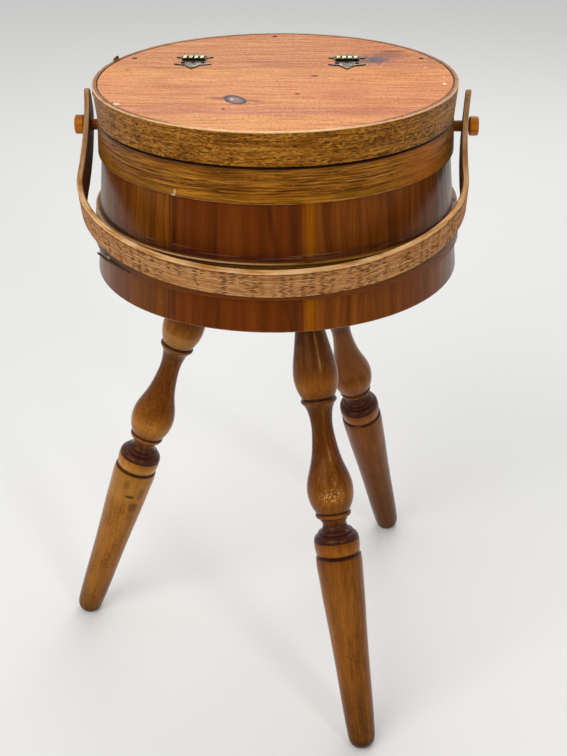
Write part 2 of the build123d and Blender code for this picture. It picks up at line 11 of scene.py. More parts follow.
import logging
import math
import re
from dataclasses import dataclass, field
from enum import Enum
from typing import Callable, Sequence, Union

import bpy
from mathutils import Matrix, Vector


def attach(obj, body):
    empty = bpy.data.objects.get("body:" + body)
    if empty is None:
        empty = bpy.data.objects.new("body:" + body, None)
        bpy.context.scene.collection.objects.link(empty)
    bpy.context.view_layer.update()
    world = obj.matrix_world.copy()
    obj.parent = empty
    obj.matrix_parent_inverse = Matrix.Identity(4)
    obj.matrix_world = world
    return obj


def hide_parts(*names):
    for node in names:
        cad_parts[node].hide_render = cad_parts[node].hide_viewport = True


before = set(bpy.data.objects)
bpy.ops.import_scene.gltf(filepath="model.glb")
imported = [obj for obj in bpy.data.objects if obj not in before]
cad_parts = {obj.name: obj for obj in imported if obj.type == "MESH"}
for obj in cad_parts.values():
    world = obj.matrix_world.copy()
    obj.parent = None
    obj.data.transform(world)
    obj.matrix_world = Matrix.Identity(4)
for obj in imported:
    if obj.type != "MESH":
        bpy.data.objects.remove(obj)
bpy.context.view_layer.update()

log = logging.getLogger("sewing_tub")

Linear = tuple[float, float, float]
Colour = Union[str, Linear]
Value = Union[float, "Signal"]
Ring = tuple[float, float, float, Colour]

AMBER = (0.85, 0.34, 0.07)
WHITE = (1.0, 1.0, 1.0)
# Colour of the painted shadow in the gap under the lid's band.
PAINTED_GAP_SHADOW = "150806"
VARNISH_ROUGHNESS = 0.12
WELD = 1e-6
FLAT_ANGLE = 0.003
# Least and most that a unit normal has along an axis when its face is square to it or steep.
SQUARE = 0.95
STEEP = 0.3


def tint(colour: Colour) -> Linear:
    """Turns a colour written as seen on a screen into the linear one that a shader takes.

    Args:
        colour: Six hexadecimal digits, red first, or a colour that is linear already.

    Returns:
        The linear red, green and blue.
    """
    if not isinstance(colour, str):
        return colour
    parts = (int(colour[i : i + 2], 16) / 255 for i in (0, 2, 4))
    return tuple(c / 12.92 if c <= 0.04045 else ((c + 0.055) / 1.055) ** 2.4 for c in parts)


def dim(colour: Colour, share: float) -> Linear:
    """A colour with only a share of its light."""
    return tuple(c * share for c in tint(colour))


# ---------------------------------------------------------------------------- shader graphs
class Signal:
    """A node's output that is reckoned with like a number."""

    def __init__(self, graph: Graph, socket: bpy.types.NodeSocket) -> None:
        """Wraps an output of one of a graph's nodes."""
        self.graph, self.socket = graph, socket

    def __add__(self, other: Value) -> Signal:
        """The sum."""
        return self.graph.math("ADD", self, other)

    def __sub__(self, other: Value) -> Signal:
        """The difference."""
        return self.graph.math("SUBTRACT", self, other)

    def __mul__(self, other: Value) -> Signal:
        """The product."""
        return self.graph.math("MULTIPLY", self, other)

    def __truediv__(self, other: Value) -> Signal:
        """The quotient."""
        return self.graph.math("DIVIDE", self, other)

    def __abs__(self) -> Signal:
        """The value without its sign."""
        return self.graph.math("ABSOLUTE", self)

    def most(self, other: Value) -> Signal:
        """The larger of the two."""
        return self.graph.math("MAXIMUM", self, other)

    def step(self, low: float, high: float) -> Signal:
        """Rises smoothly from 0 at low to 1 at high, or falls if low is the larger."""
        limits = (high, low, 1.0, 0.0) if low > high else (low, high, 0.0, 1.0)
        return self.graph.node("MapRange", self, *limits, interpolation_type="SMOOTHSTEP")

    def near(self, centre: float, width: float) -> Signal:
        """Is 1 at centre and falls smoothly to 0 a width away from it."""
        return abs(self - centre).step(width, 0.0)


class Graph:
    """The nodes of a material or a world, with a short call for each kind that is used."""

    def __init__(self, owner: bpy.types.Material | bpy.types.World) -> None:
        """Takes up the owner's nodes."""
        owner.use_nodes = True
        self.tree = owner.node_tree

    def feed(self, socket: bpy.types.NodeSocket, value: Value | Colour | Sequence[float]) -> None:
        """Links an input to a signal, or sets it to a plain value.

        Args:
            socket: The input.
            value: A signal, a number, a vector or a colour.
        """
        if isinstance(value, Signal):
            self.tree.links.new(value.socket, socket)
        elif socket.type == "RGBA":
            socket.default_value = (*tint(value), 1.0)
        else:
            socket.default_value = value

    def node(self, kind: str, *inputs: object, out: int | str = 0, **more: object) -> Signal:
        """Adds a node.

        Args:
            kind: Its type, without the ShaderNode prefix.
            inputs: What goes into its inputs, in order, with None to leave one alone.
            out: The output wanted.
            more: Its properties, and inputs by their names.

        Returns:
            That output.
        """
        node = self.tree.nodes.new("ShaderNode" + kind)
        for key, value in more.items():
            if key in node.inputs:
                self.feed(node.inputs[key], value)
            else:
                setattr(node, key, value)
        for socket, value in zip(node.inputs, inputs):
            if value is not None:
                self.feed(socket, value)
        return Signal(self, node.outputs[out])

    def math(self, operation: str, *values: Value) -> Signal:
        """Adds a Math node."""
        return self.node("Math", *values, operation=operation)

    def mix(self, amount: Value, under: object, over: object, blend: str = "MIX") -> Signal:
        """Blends two colours.

        Args:
            amount: How much of the second one, from 0 to 1.
            under: The first colour.
            over: The second colour.
            blend: How the second is laid on the first.

        Returns:
            The blended colour.
        """
        numbers = (None,) * 5
        return self.node("Mix", amount, *numbers, under, over, out=2, data_type="RGBA", blend_type=blend)

    def ramp(self, value: Signal, stops: Sequence[tuple[float, Colour]]) -> Signal:
        """Turns a value into a colour.

        Args:
            value: From 0 to 1.
            stops: Places along the ramp and their colours.

        Returns:
            The colour.
        """
        colour = self.node("ValToRGB", value)
        elements = colour.socket.node.color_ramp.elements
        while len(elements) < len(stops):
            elements.new(0.5)
        for element, (place, shade) in zip(elements, stops):
            element.position = place
            element.color = (*tint(shade), 1.0)
        return colour

    def place(self, local: Matrix) -> Signal:
        """The point's place in a frame laid along the piece.

        Args:
            local: The frame, as a matrix from it to the row frame.

        Returns:
            The place, in metres.
        """
        back = local.inverted()
        here = self.node("TexCoord", out="Object")
        return self.node("Mapping", here, back.to_translation(), back.to_euler())

    def split(self, vector: Signal) -> tuple[Signal, ...]:
        """Takes a vector apart."""
        return tuple(Signal(self, out) for out in self.node("SeparateXYZ", vector).socket.node.outputs)

    def join(self, x: Value, y: Value, z: Value) -> Signal:
        """Puts a vector together."""
        return self.node("CombineXYZ", x, y, z)

    def stretch(self, place: Signal, size: Sequence[float], seed: float = 0.0) -> Signal:
        """Scales a place so that a texture of scale 1 has features of a given size.

        Args:
            place: The place.
            size: The features' size along each axis.
            seed: Moves the pattern.

        Returns:
            The scaled place.
        """
        moved = (seed * 3.7, seed * 1.3, seed * 2.1)
        return self.node("Mapping", place, moved, None, [1 / length for length in size])

    def noise(self, place: Signal, size: Sequence[float], seed: float, octaves: float) -> Signal:
        """Adds a noise with features of a given size.

        Args:
            place: Where it is read.
            size: The features' size along each axis.
            seed: Moves the pattern.
            octaves: How many finer layers it has.

        Returns:
            The noise, around 0.5.
        """
        return self.node("TexNoise", self.stretch(place, size, seed), None, 1.0, octaves)

    def oval(
        self, place: Signal, x: float, y: float, half: tuple[float, float], turn: float = 0.0
    ) -> Signal:
        """How far a place is from an oval's middle.

        Args:
            place: The place.
            x: Of the middle.
            y: Of the middle.
            half: Half the oval's length and half its width.
            turn: Its length's angle.

        Returns:
            The distance, with 1 on the outline.
        """
        back = math.radians(-turn)
        moved = Matrix.Rotation(back, 2) @ Vector((x, y))
        turned = self.node("Mapping", place, (-moved.x, -moved.y, 0), (0, 0, back))
        flat = self.node("VectorMath", turned, (1 / half[0], 1 / half[1], 0.0), operation="MULTIPLY")
        return self.length(flat)

    def length(self, vector: Signal) -> Signal:
        """A vector's length."""
        return self.node("VectorMath", vector, out="Value", operation="LENGTH")


class Paint(Graph):
    """A material whose colour is laid down coat by coat."""

    def __init__(self, name: str, colour: Colour = WHITE) -> None:
        """Starts a material with a Principled shader.

        Args:
            name: The material's name.
            colour: Its first coat.
        """
        self.material = bpy.data.materials.new(name)
        super().__init__(self.material)
        self.colour: Signal | Colour = colour

    def lay(self, amount: Value, colour: Signal | Colour) -> None:
        """Lays a colour over the coats so far, by an amount from 0 to 1."""
        self.colour = self.mix(amount, self.colour, colour)

    def filtered(self, through: Colour) -> Signal:
        """The coats so far, seen through a coloured film."""
        return self.mix(1.0, self.colour, through, "MULTIPLY")

    def veils(self, *veils: tuple[Signal, float, float, float, Colour]) -> None:
        """Lays colours where textures rise.

        Args:
            veils: For each a texture, where it starts to show, where it shows fully, how much of
                it shows then, and its colour.
        """
        for texture, low, high, strength, colour in veils:
            self.lay(texture.step(low, high) * strength, colour)

    def shine(
        self,
        roughness: Value,
        level: float,
        relief: Signal | None = None,
        depth: float = 0.0,
        warmth: Colour = AMBER,
        coat: float = 0.0,
        metallic: float = 0.0,
    ) -> bpy.types.Material:
        """Finishes the material.

        Args:
            roughness: Of the surface itself.
            level: Strength of its reflections, 0.5 for plain varnish.
            relief: The surface's height, from 0 to 1.
            depth: What 1 stands for in the relief.
            warmth: Colour that the stain lends to what it reflects straight on.
            coat: Weight of a smooth varnish over it.
            metallic: How metallic it is.

        Returns:
            The material.
        """
        values = {
            "Base Color": self.colour,
            "Roughness": roughness,
            "Metallic": metallic,
            "Specular IOR Level": level,
            "Specular Tint": warmth,
            "Coat Weight": coat,
            "Coat Roughness": VARNISH_ROUGHNESS,
        }
        if relief is not None:
            values["Normal"] = self.node("Bump", 1.0, depth, Height=relief)
        for name, value in values.items():
            self.feed(self.tree.nodes["Principled BSDF"].inputs[name], value)
        return self.material


def dress(material: bpy.types.Material, *pieces: str | bpy.types.Object) -> None:
    """Gives pieces one material all over.

    Args:
        material: Their finish.
        pieces: Objects, or names of the frame's nodes.
    """
    for piece in pieces:
        mesh = (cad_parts[piece] if isinstance(piece, str) else piece).data
        mesh.materials.clear()
        mesh.materials.append(material)
        for face in mesh.polygons:
            face.material_index = 0


# ---------------------------------------------------------------------------- finishes
@dataclass(frozen=True)
class TubAxis:
    """The tub's own axis in the row frame.

    Attributes:
        x: Of the axis.
        y: Of the axis.
        reach: Radius at which the arc round the tub is measured.
    """

    x: float
    y: float
    reach: float = 0.152

    def level(self, height: float = 0.0) -> Matrix:
        """A frame on the axis at a height, turned like the row frame."""
        return Matrix.Translation((self.x, self.y, height))

    def place(self, angle: float, radius: float, height: float) -> Vector:
        """A point given by angle, radius and height."""
        a = math.radians(angle)
        return Vector((self.x + radius * math.cos(a), self.y + radius * math.sin(a), height))

    def wrap(self, graph: Graph, cut: float) -> tuple[Signal, Signal, Signal]:
        """Reads a place as arc, height and radius.

        Args:
            graph: The material.
            cut: The angle at which the arc breaks.

        Returns:
            The arc, which is 0 opposite the cut, the height and the radius.
        """
        turned = self.level() @ Matrix.Rotation(math.radians(cut + 180), 4, "Z")
        x, y, z = graph.split(graph.place(turned))
        return graph.math("ARCTAN2", y, x) * self.reach, z, graph.math("SQRT", x * x + y * y)

    def arc(self, angle: float, cut: float) -> float:
        """The arc at an angle, as wrap reads it."""
        return math.radians((angle - cut) % 360 - 180) * self.reach


@dataclass(frozen=True)
class OakFinish:
    """Open-grained bent oak: streaks, long fibres, short dark pores and ray flecks.

    Attributes:
        name: The material's name.
        dark: Deepest streaks.
        middle: The body of the colour.
        light: Palest streaks.
        pore: The pores' colour.
        streak_size: Length and width of a streak.
        pore_size: Length and width of a pore.
        pore_share: How readily pores appear, from 0 to 1.
        wander: How far the grain strays across its run.
        rows: How strongly the pores keep to rows.
        row_size: Length and width of a row.
        gather: How strongly the pores gather in patches with clean wood between.
        dash: Spacing along and across of short dark dashes, if it has them.
        fleck: Strength of the ray flecks.
        spread: How rare the patches with flecks are.
        roughness: Of the wood.
        level: Strength of its reflections.
        relief: Depth of the pores.
        seed: Moves the pattern.
    """

    name: str
    dark: Colour
    middle: Colour
    light: Colour
    pore: Colour
    streak_size: tuple[float, float] = (0.12, 0.0034)
    pore_size: tuple[float, float] = (0.009, 0.0008)
    pore_share: float = 0.5
    wander: float = 0.005
    rows: float = 0.22
    row_size: tuple[float, float] = (0.03, 0.003)
    gather: float = 0.0
    dash: tuple[float, float] | None = None
    fleck: float = 0.3
    spread: float = 0.48
    roughness: float = 0.42
    level: float = 0.2
    relief: float = 0.00035
    seed: float = 0.0

    def draw(self, paint: Paint, along: Signal, across: Signal, depth: Signal) -> tuple[Signal, Signal]:
        """Draws the grain.

        Args:
            paint: The material to fill.
            along: Metres along the grain.
            across: Metres across it.
            depth: Metres into the wood.

        Returns:
            The open pores and the fine fibres.
        """
        wave = paint.noise(paint.join(along, across, depth), (0.09, 0.02, 0.05), self.seed + 1, 1)
        place = paint.join(along, wave * self.wander + across, depth)
        streak = paint.noise(place, (*self.streak_size, 0.02), self.seed, 3)
        fibre = paint.noise(place, (0.022, 0.0010, 0.004), self.seed + 5, 2)
        tone = streak * 0.55 + fibre * 0.45
        paint.colour = paint.ramp(tone, ((0.36, self.dark), (0.5, self.middle), (0.64, self.light)))
        pores = paint.noise(place, (*self.pore_size, 0.003), self.seed + 3, 1)
        row = paint.noise(place, (*self.row_size, 0.02), self.seed + 9, 1)
        level = 0.70 - 0.2 * self.pore_share
        clump = paint.noise(place, (0.0085, 0.030, 0.05), self.seed + 12, 1)
        kept = clump.step(0.47, 0.40) * -self.gather + 1.0
        pores = (row * self.rows + pores * (1 - self.rows)).step(level - 0.05, level + 0.02) * kept
        if self.dash:
            cells = paint.stretch(place, (*self.dash, 1.0), self.seed)
            spots = paint.node(
                "TexVoronoi", cells, None, 1.0, out="Distance", voronoi_dimensions="2D", Randomness=0.6
            )
            pores = pores.most(spots.step(0.40, 0.26) * (row.step(0.34, 0.46) * kept))
        paint.lay(pores * 0.8, self.pore)
        rays = paint.noise(place, (0.0035, 0.0012, 0.004), self.seed + 7, 1).step(0.5, 0.64)
        patch = paint.noise(place, (0.022, 0.012, 0.05), self.seed + 8, 1)
        paint.lay(rays * patch.step(self.spread, self.spread + 0.12) * self.fleck, self.light)
        return pores, fibre

    def shine(self, paint: Paint, pores: Signal, fibre: Signal) -> bpy.types.Material:
        """Finishes the material from its pores and fibres."""
        rough, relief = pores * 0.2 + self.roughness, fibre * 0.35 - pores * 0.6
        return paint.shine(rough, self.level, relief, self.relief)

    def make(self, paint: Paint, *place: Signal) -> bpy.types.Material:
        """Draws the grain and finishes the material with it."""
        return self.shine(paint, *self.draw(paint, *place))


@dataclass(frozen=True)
class Streak:
    """A stripe of another colour that runs up a stave.

    Attributes:
        angle: Of its middle.
        width: Half its width, in degrees.
        colour: Its colour.
        strength: How much of it shows.
        sway: How far it wanders.
        lean: How far it moves round the tub per metre of height.
    """

    angle: float
    width: float
    colour: Colour
    strength: float = 0.8
    sway: float = 0.001
    lean: float = 0.0


@dataclass(frozen=True)
class StaveFinish:
    """Glossy stained softwood with upright grain.

    Attributes:
        name: The material's name.
        dark: Deepest streaks.
        middle: The body of the colour.
        light: Palest streaks.
        contrast: How strongly the fine grain shows.
        seed: Moves the pattern.
        streaks: Stripes of another colour.
        low: How much darker it is below the lower hoop, from 0 to 1.
        cut: The angle at which the arc breaks.
        pivot: Height at which a leaning streak stands at its angle.
        shelter: Heights between which the shade below the lower hoop sets in.
        dark_band: Height and half width of the band of grime above the lower hoop.
        scuff: Height and half width of the scratches above it.
        foot: Height and half width of the rubbed foot.
    """

    name: str
    dark: Colour
    middle: Colour
    light: Colour
    contrast: float
    seed: float
    streaks: tuple[Streak, ...] = ()
    low: float = 0.0
    cut: float = 84.0
    pivot: float = 0.48
    shelter: tuple[float, float] = (0.440, 0.428)
    dark_band: tuple[float, float] = (0.4640, 0.0075)
    scuff: tuple[float, float] = (0.4660, 0.004)
    foot: tuple[float, float] = (0.4040, 0.0018)

    def make(self, axis: TubAxis, inner: Colour, wall: tuple[float, float, float]) -> bpy.types.Material:
        """Builds the material.

        Args:
            axis: The tub's axis.
            inner: Colour of the bare wood inside the tub.
            wall: Radius and height of a point midway in the stave's wall, and how fast the
                radius grows downwards.

        Returns:
            The material.
        """
        paint = Paint(self.name)
        arc, height, radius = axis.wrap(paint, self.cut)
        drift = paint.noise(paint.join(arc, height, radius), (0.04, 0.09, 0.05), self.seed + 4, 1) - 0.5
        place = paint.join(drift * 0.010 + arc, height, radius)
        streak = paint.noise(place, (0.007, 0.3, 0.02), self.seed, 3)
        fibre = paint.noise(place, (0.0012, 0.05, 0.004), self.seed + 5, 2)
        share = self.contrast * 0.55
        tone = streak * (1 - share) + fibre * share
        paint.colour = paint.ramp(tone, ((0.34, self.dark), (0.5, self.middle), (0.66, self.light)))
        for line in self.streaks:
            moved = drift * (line.sway * 8) + arc
            if line.lean:
                moved = moved + (height * line.lean - self.pivot * line.lean)
            near = moved.near(axis.arc(line.angle, self.cut), math.radians(line.width) * axis.reach)
            paint.lay(near * fibre.step(0.15, 0.6) * line.strength, line.colour)
        if self.low:
            paint.lay(height.step(*self.shelter) * self.low, "3c1c12")
        patch = paint.noise(place, (0.03, 0.004, 0.03), self.seed + 2, 3)
        paint.lay(height.near(*self.dark_band) * patch.step(0.3, 0.6) * 0.75, "3a1a14")
        rub = paint.noise(place, (0.004, 0.0008, 0.004), self.seed + 3, 2)
        scratch = paint.noise(place, (0.05, 0.0007, 0.004), self.seed + 7, 2)
        specks = paint.noise(place, (0.0016, 0.0022, 0.003), self.seed + 6, 1)
        scuff = height.near(*self.scuff) * scratch.step(0.58, 0.68)
        foot = height.near(*self.foot) * rub.step(0.5, 0.62)
        paint.lay(scuff.most(foot).most(specks.step(0.77, 0.81)) * 0.45, "b08464")
        wall_radius, wall_height, slope = wall
        middle = (height * -1.0 + wall_height) * slope + wall_radius
        inside = (radius - middle).step(0.002, -0.002)
        paint.lay(inside, paint.ramp(fibre, ((0.3, dim(inner, 0.75)), (0.7, inner))))
        ripple = paint.noise(place, (0.012, 0.05, 0.05), self.seed + 8, 1)
        rough = fibre * 0.12 + inside * 0.35 + 0.22
        return paint.shine(rough, 0.22, fibre * 0.12 + ripple, 0.0005)


@dataclass(frozen=True)
class Mark:
    """An oval mark on the lid.

    Attributes:
        x: Of its middle, from the tub's axis.
        y: Of its middle, from the tub's axis.
        half: Half its length and half its width.
        turn: Its length's angle.
        colour: Its colour.
        strength: How much of it shows.
        grain: Size of its outline's raggedness along X and Y.
        ragged: How strong that is.
        edge: Where it starts and where it is at its strongest, with 1 on its outline.
    """

    x: float
    y: float
    half: tuple[float, float]
    turn: float
    colour: Colour
    strength: float = 0.8
    grain: tuple[float, float] = (0.006, 0.002)
    ragged: float = 0.9
    edge: tuple[float, float] = (1.15, 0.55)


@dataclass(frozen=True)
class Knot:
    """A knot in the lid, with a grey ring round a pinkish middle and a tail at each end.

    Attributes:
        x: Of its middle, from the tub's axis.
        y: Of its middle, from the tub's axis.
        half: Half its length and half its width.
        turn: Its length's angle.
        pull: Half the size of the patch in which the grain bends round it.
        tails: Where the tails lie from its middle.
        tail_half: Half a tail's length and half its width.
        tail_turn: Its length's angle.
        spot: Where a pale spot lies from its middle.
        spot_half: Half the spot's size along X and Y.
    """

    x: float = -0.0292
    y: float = -0.0678
    half: tuple[float, float] = (0.0135, 0.0078)
    turn: float = -62.0
    pull: tuple[float, float] = (0.024, 0.026)
    tails: tuple[tuple[float, float], ...] = ((-0.0135, 0.0040), (0.0150, -0.0030))
    tail_half: tuple[float, float] = (0.0115, 0.0050)
    tail_turn: float = -14.0
    spot: tuple[float, float] = (-0.0026, 0.0016)
    spot_half: tuple[float, float] = (0.0017, 0.0026)

    def bend(self, paint: Paint, place: Signal, y: Signal) -> Signal:
        """How far the grain is pushed across its run, round the knot."""
        near = paint.oval(place, self.x, self.y, self.pull).step(1.6, 0.2)
        return near * ((y - self.y) * -0.55)

    def draw(self, paint: Paint, place: Signal, fibre: Signal) -> None:
        """Draws the knot.

        Args:
            paint: The lid's material.
            place: The place from the tub's axis.
            fibre: The fine grain, which makes the outlines uneven.
        """
        wobble = (fibre - 0.5) * 0.5
        for side, drop in self.tails:
            tail = paint.oval(place, self.x + side, self.y + drop, self.tail_half, self.tail_turn)
            paint.lay((tail + wobble).step(1.1, 0.3) * 0.6, "8a4c48")
        ring = paint.oval(place, self.x, self.y, self.half, self.turn) + wobble
        heart = "96807c"
        core = paint.mix(fibre.step(0.45, 0.6), heart, "b88468")
        for outer, inner, colour in ((1.15, 0.9, "4c4a52"), (0.9, 0.45, heart), (0.6, 0.3, core)):
            paint.lay(ring.step(outer, inner), colour)
        spot = paint.oval(place, self.x + self.spot[0], self.y + self.spot[1], self.spot_half)
        paint.lay(spot.step(1.1, 0.4) * 0.8, "f0e0d8")


@dataclass(frozen=True)
class LidFinish:
    """Stained pine with its grain along X, banded from back to front.

    Attributes:
        name: The material's name.
        bands: Places from the front (0) to the back (1) and the colour there.
        marks: Small stains and dents.
        knot: The knot.
        dark: Fine dark grain.
        light: Fine light grain.
        span: Length from front to back over which the bands lie.
        rim: Radii between which the joint with the band darkens.
        rim_sides: How far to the sides that starts and is at its strongest.
        below: Heights from the lid's face between which the bare underside sets in.
    """

    name: str
    bands: tuple[tuple[float, Colour], ...]
    marks: tuple[Mark, ...]
    knot: Knot = Knot()
    dark: Colour = "a25c38"
    light: Colour = "f6b880"
    span: float = 0.3
    rim: tuple[float, float] = (0.1474, 0.1484)
    rim_sides: tuple[float, float] = (0.085, 0.12)
    below: tuple[float, float] = (-0.0035, -0.006)

    def make(self, axis: TubAxis, top: float, underside: Colour) -> bpy.types.Material:
        """Builds the material.

        Args:
            axis: The tub's axis.
            top: Height of the lid's face.
            underside: Colour of the bare wood below.

        Returns:
            The material.
        """
        paint = Paint(self.name)
        place = paint.place(axis.level(top))
        x, y, z = paint.split(place)
        wave = paint.noise(place, (0.22, 0.05, 0.1), 1, 1) - 0.5
        bent = wave * 0.03 + y + self.knot.bend(paint, place, y)
        grain = paint.join(x, bent, z)
        soft = paint.noise(grain, (0.3, 0.012, 0.05), 2, 2) - 0.5
        paint.colour = paint.ramp(bent * (1 / self.span) + 0.5 + soft * 0.12, self.bands)
        streak = paint.noise(grain, (0.16, 0.0048, 0.02), 0, 4)
        fibre = paint.noise(grain, (0.03, 0.0026, 0.004), 5, 3)
        grit = paint.noise(grain, (0.0022, 0.0040, 0.004), 9, 2)
        paint.veils(
            (streak, 0.5, 0.66, 0.34, self.dark),
            (streak, 0.5, 0.36, 0.3, self.light),
            (fibre, 0.52, 0.66, 0.4, self.dark),
            (fibre, 0.47, 0.34, 0.35, self.light),
            (grit, 0.52, 0.7, 0.35, self.dark),
            (grit, 0.46, 0.3, 0.3, self.light),
            (paint.noise(place, (0.07, 0.05, 0.05), 6, 2), 0.5, 0.7, 0.3, "b06a4c"),
            (paint.noise(place, (0.0030, 0.0022, 0.01), 7, 1), 0.69, 0.73, 0.6, "f0c49c"),
            (paint.noise(place, (0.0034, 0.0024, 0.01), 8, 1), 0.74, 0.78, 0.5, "7a4428"),
        )
        paint.lay(x.step(-0.03, 0.11), paint.filtered((0.98, 0.89, 0.78)))
        for mark in self.marks:
            rough = paint.noise(place, (*mark.grain, 0.01), mark.x * 50, 4) - 0.5
            reach = rough * mark.ragged + paint.oval(place, mark.x, mark.y, mark.half, mark.turn)
            paint.lay(reach.step(*mark.edge) * mark.strength, mark.colour)
        self.knot.draw(paint, place, fibre)
        away = (grit - 0.5) * 0.002 + paint.math("SQRT", x * x + y * y)
        paint.lay(away.step(*self.rim) * abs(x).step(*self.rim_sides) * 0.55, "5c3626")
        paint.lay(z.step(*self.below), paint.mix(streak.step(0.4, 0.6), dim(underside, 0.8), underside))
        return paint.shine(fibre * 0.15 + 0.5, 0.1, streak * 0.8 - fibre * 0.5, 0.0003)


@dataclass(frozen=True)
class DarkMark:
    """A dark mark on a leg, used for bruises and for painted shade.

    Attributes:
        down: Of its middle, down the leg.
        angle: Of its middle round the leg, in the leg's own frame.
        half: Half its size down the leg and half its size round it.
        strength: How much of it shows.
    """

    down: float
    angle: float
    half: tuple[float, float]
    strength: float


@dataclass(frozen=True)
class TurnedFinish:
    """Glossy turned maple, its grain along the leg, with stain that pooled in the hollows.

    Attributes:
        name: The material's name.
        zones: Distances down the leg and the colour there.
        seed: Moves the pattern.
        rings: Distance down the leg, half width, strength and colour of each ring and of any band of
            painted sheen.
        dark_marks: Dark marks: bruises, and painted shade where a leg has it.
        wear: Where pale specks of wear gather, as a distance down the leg and an angle round
            it, and how strong they are.
        deep: How much darker the stain is all over.
        dark: Fine dark grain.
        light: Fine light grain.
        burnt: Stain in the pits and bruises, and the colour of painted shade laid as a dark mark.
        film: What the deeper stain lets through.
        length: Of the piece, for the zones.
        girth: Radius at which the dark marks are measured.
        pitted: Distances down the leg between which the pits grow more frequent.
        worn_half: Half the size of the worn patch down the leg and round it.
    """

    name: str
    zones: tuple[tuple[float, Colour], ...]
    seed: float
    rings: tuple[Ring, ...] = ()
    dark_marks: tuple[DarkMark, ...] = ()
    wear: tuple[float, float, float] = (0.186, 0.0, 0.15)
    deep: float = 0.0
    dark: Colour = "4e2408"
    light: Colour = "c07c28"
    burnt: Colour = "2c120c"
    film: Linear = (0.52, 0.36, 0.18)
    length: float = 0.43
    girth: float = 0.019
    pitted: tuple[float, float] = (0.26, 0.36)
    worn_half: tuple[float, float] = (0.0095, 0.014)

    def make(self, local: Matrix) -> bpy.types.Material:
        """Builds the material.

        Args:
            local: The leg's frame, with Z down its axis from the level of the stave ends.

        Returns:
            The material.
        """
        paint = Paint(self.name)
        place = paint.place(local)
        x, y, z = paint.split(place)
        wave = paint.noise(place, (0.03, 0.03, 0.12), self.seed + 1, 1)
        bent = paint.join(wave * 0.010 + x, wave * 0.007 + y, z)
        streak = paint.noise(bent, (0.005, 0.009, 0.16), self.seed, 3)
        fibre = paint.noise(bent, (0.0010, 0.0010, 0.03), self.seed + 5, 2)
        patch = paint.noise(place, (0.018, 0.018, 0.035), self.seed + 9, 3)
        uneven = patch - 0.5
        stops = [(down / self.length, colour) for down, colour in self.zones]
        paint.colour = paint.ramp((uneven * 0.003 + z) / self.length, stops)
        paint.lay(self.deep, paint.filtered(self.film))
        paint.veils(
            (streak, 0.48, 0.68, 0.28, self.dark),
            (streak, 0.5, 0.32, 0.14, self.light),
            (fibre, 0.5, 0.64, 0.38, self.dark),
            (fibre, 0.48, 0.34, 0.12, self.light),
            (patch, 0.52, 0.72, 0.35, self.dark),
        )
        for down, width, strength, colour in self.rings:
            away = abs(uneven * 0.0006 + z - down)
            paint.lay(away.step(width, width * 0.55) * fibre.step(0.05, 0.4) * strength, colour)
        pits = paint.noise(bent, (0.0011, 0.0011, 0.0020), self.seed + 3, 1)
        pits = (z.step(*self.pitted) * 0.11 + pits).step(0.68, 0.74)
        paint.lay(pits * patch.step(0.40, 0.52) * 0.55, self.burnt)
        turn = paint.math("ARCTAN2", y, x) * self.girth
        # Dark marks: bruises, and painted shade laid the same way.
        for mark in self.dark_marks:
            aside = (turn - math.radians(mark.angle) * self.girth) / mark.half[1]
            reach = paint.length(paint.join(aside, (z - mark.down) / mark.half[0], 0.0))
            ragged = uneven * 1.6 + (fibre - 0.5) * 0.8 + reach
            paint.lay(ragged.step(1.15, 0.5) * mark.strength, self.burnt)
        down, angle, strength = self.wear
        chips = paint.noise(place, (0.0016,) * 3, self.seed + 7, 1).step(0.56, 0.62)
        beside = turn.near(math.radians(angle) * self.girth, self.worn_half[1])
        paint.lay(chips * z.near(down, self.worn_half[0]) * beside * strength, "e8bc80")
        return paint.shine(fibre * 0.12 + 0.2, 0.25, fibre * 0.2 + patch * 0.5, 0.0004, coat=0.06)


@dataclass(frozen=True)
class MetalFinish:
    """Metal with a patina that lies in the low places and is rubbed off the high ones.

    Attributes:
        name: The material's name.
        base: The patina.
        bright: The rubbed metal.
        share: How much is rubbed, from 0 to 1.
        roughness: Of the patina.
        size: Of the patches.
        metallic: How metallic the surface is.
        level: Strength of the reflections that aren't metallic.
        shade_limit: How far up a face has to look to be free of the painted shade, near black, laid on
            faces that look less far up, from 0 to 1, if there is any.
    """

    name: str
    base: Colour
    bright: Colour
    share: float
    roughness: float
    size: float
    metallic: float = 0.85
    level: float = 0.5
    shade_limit: float | None = None

    def make(self) -> bpy.types.Material:
        """Builds the material."""
        paint = Paint(self.name, self.base)
        patch = paint.noise(paint.place(Matrix.Identity(4)), (self.size,) * 3, 0, 4)
        rubbed = patch.step(0.66 - 0.4 * self.share, 0.78 - 0.4 * self.share)
        paint.lay(rubbed, self.bright)
        # Faces that don't look up far enough are laid near black as painted shade.
        if self.shade_limit:
            up = paint.split(paint.node("TexCoord", out="Normal"))[2]
            paint.lay(up.step(self.shade_limit + 0.1, self.shade_limit - 0.1), "0e0c08")
        rough = rubbed * -0.15 + self.roughness
        return paint.shine(rough, self.level, patch, 0.0001, WHITE, metallic=self.metallic)


# ---------------------------------------------------------------------------- modelling by hand
class Part(Enum):
    """What is picked in edit mode, with the mesh's name for its list."""

    EDGE = "edges"
    FACE = "polygons"


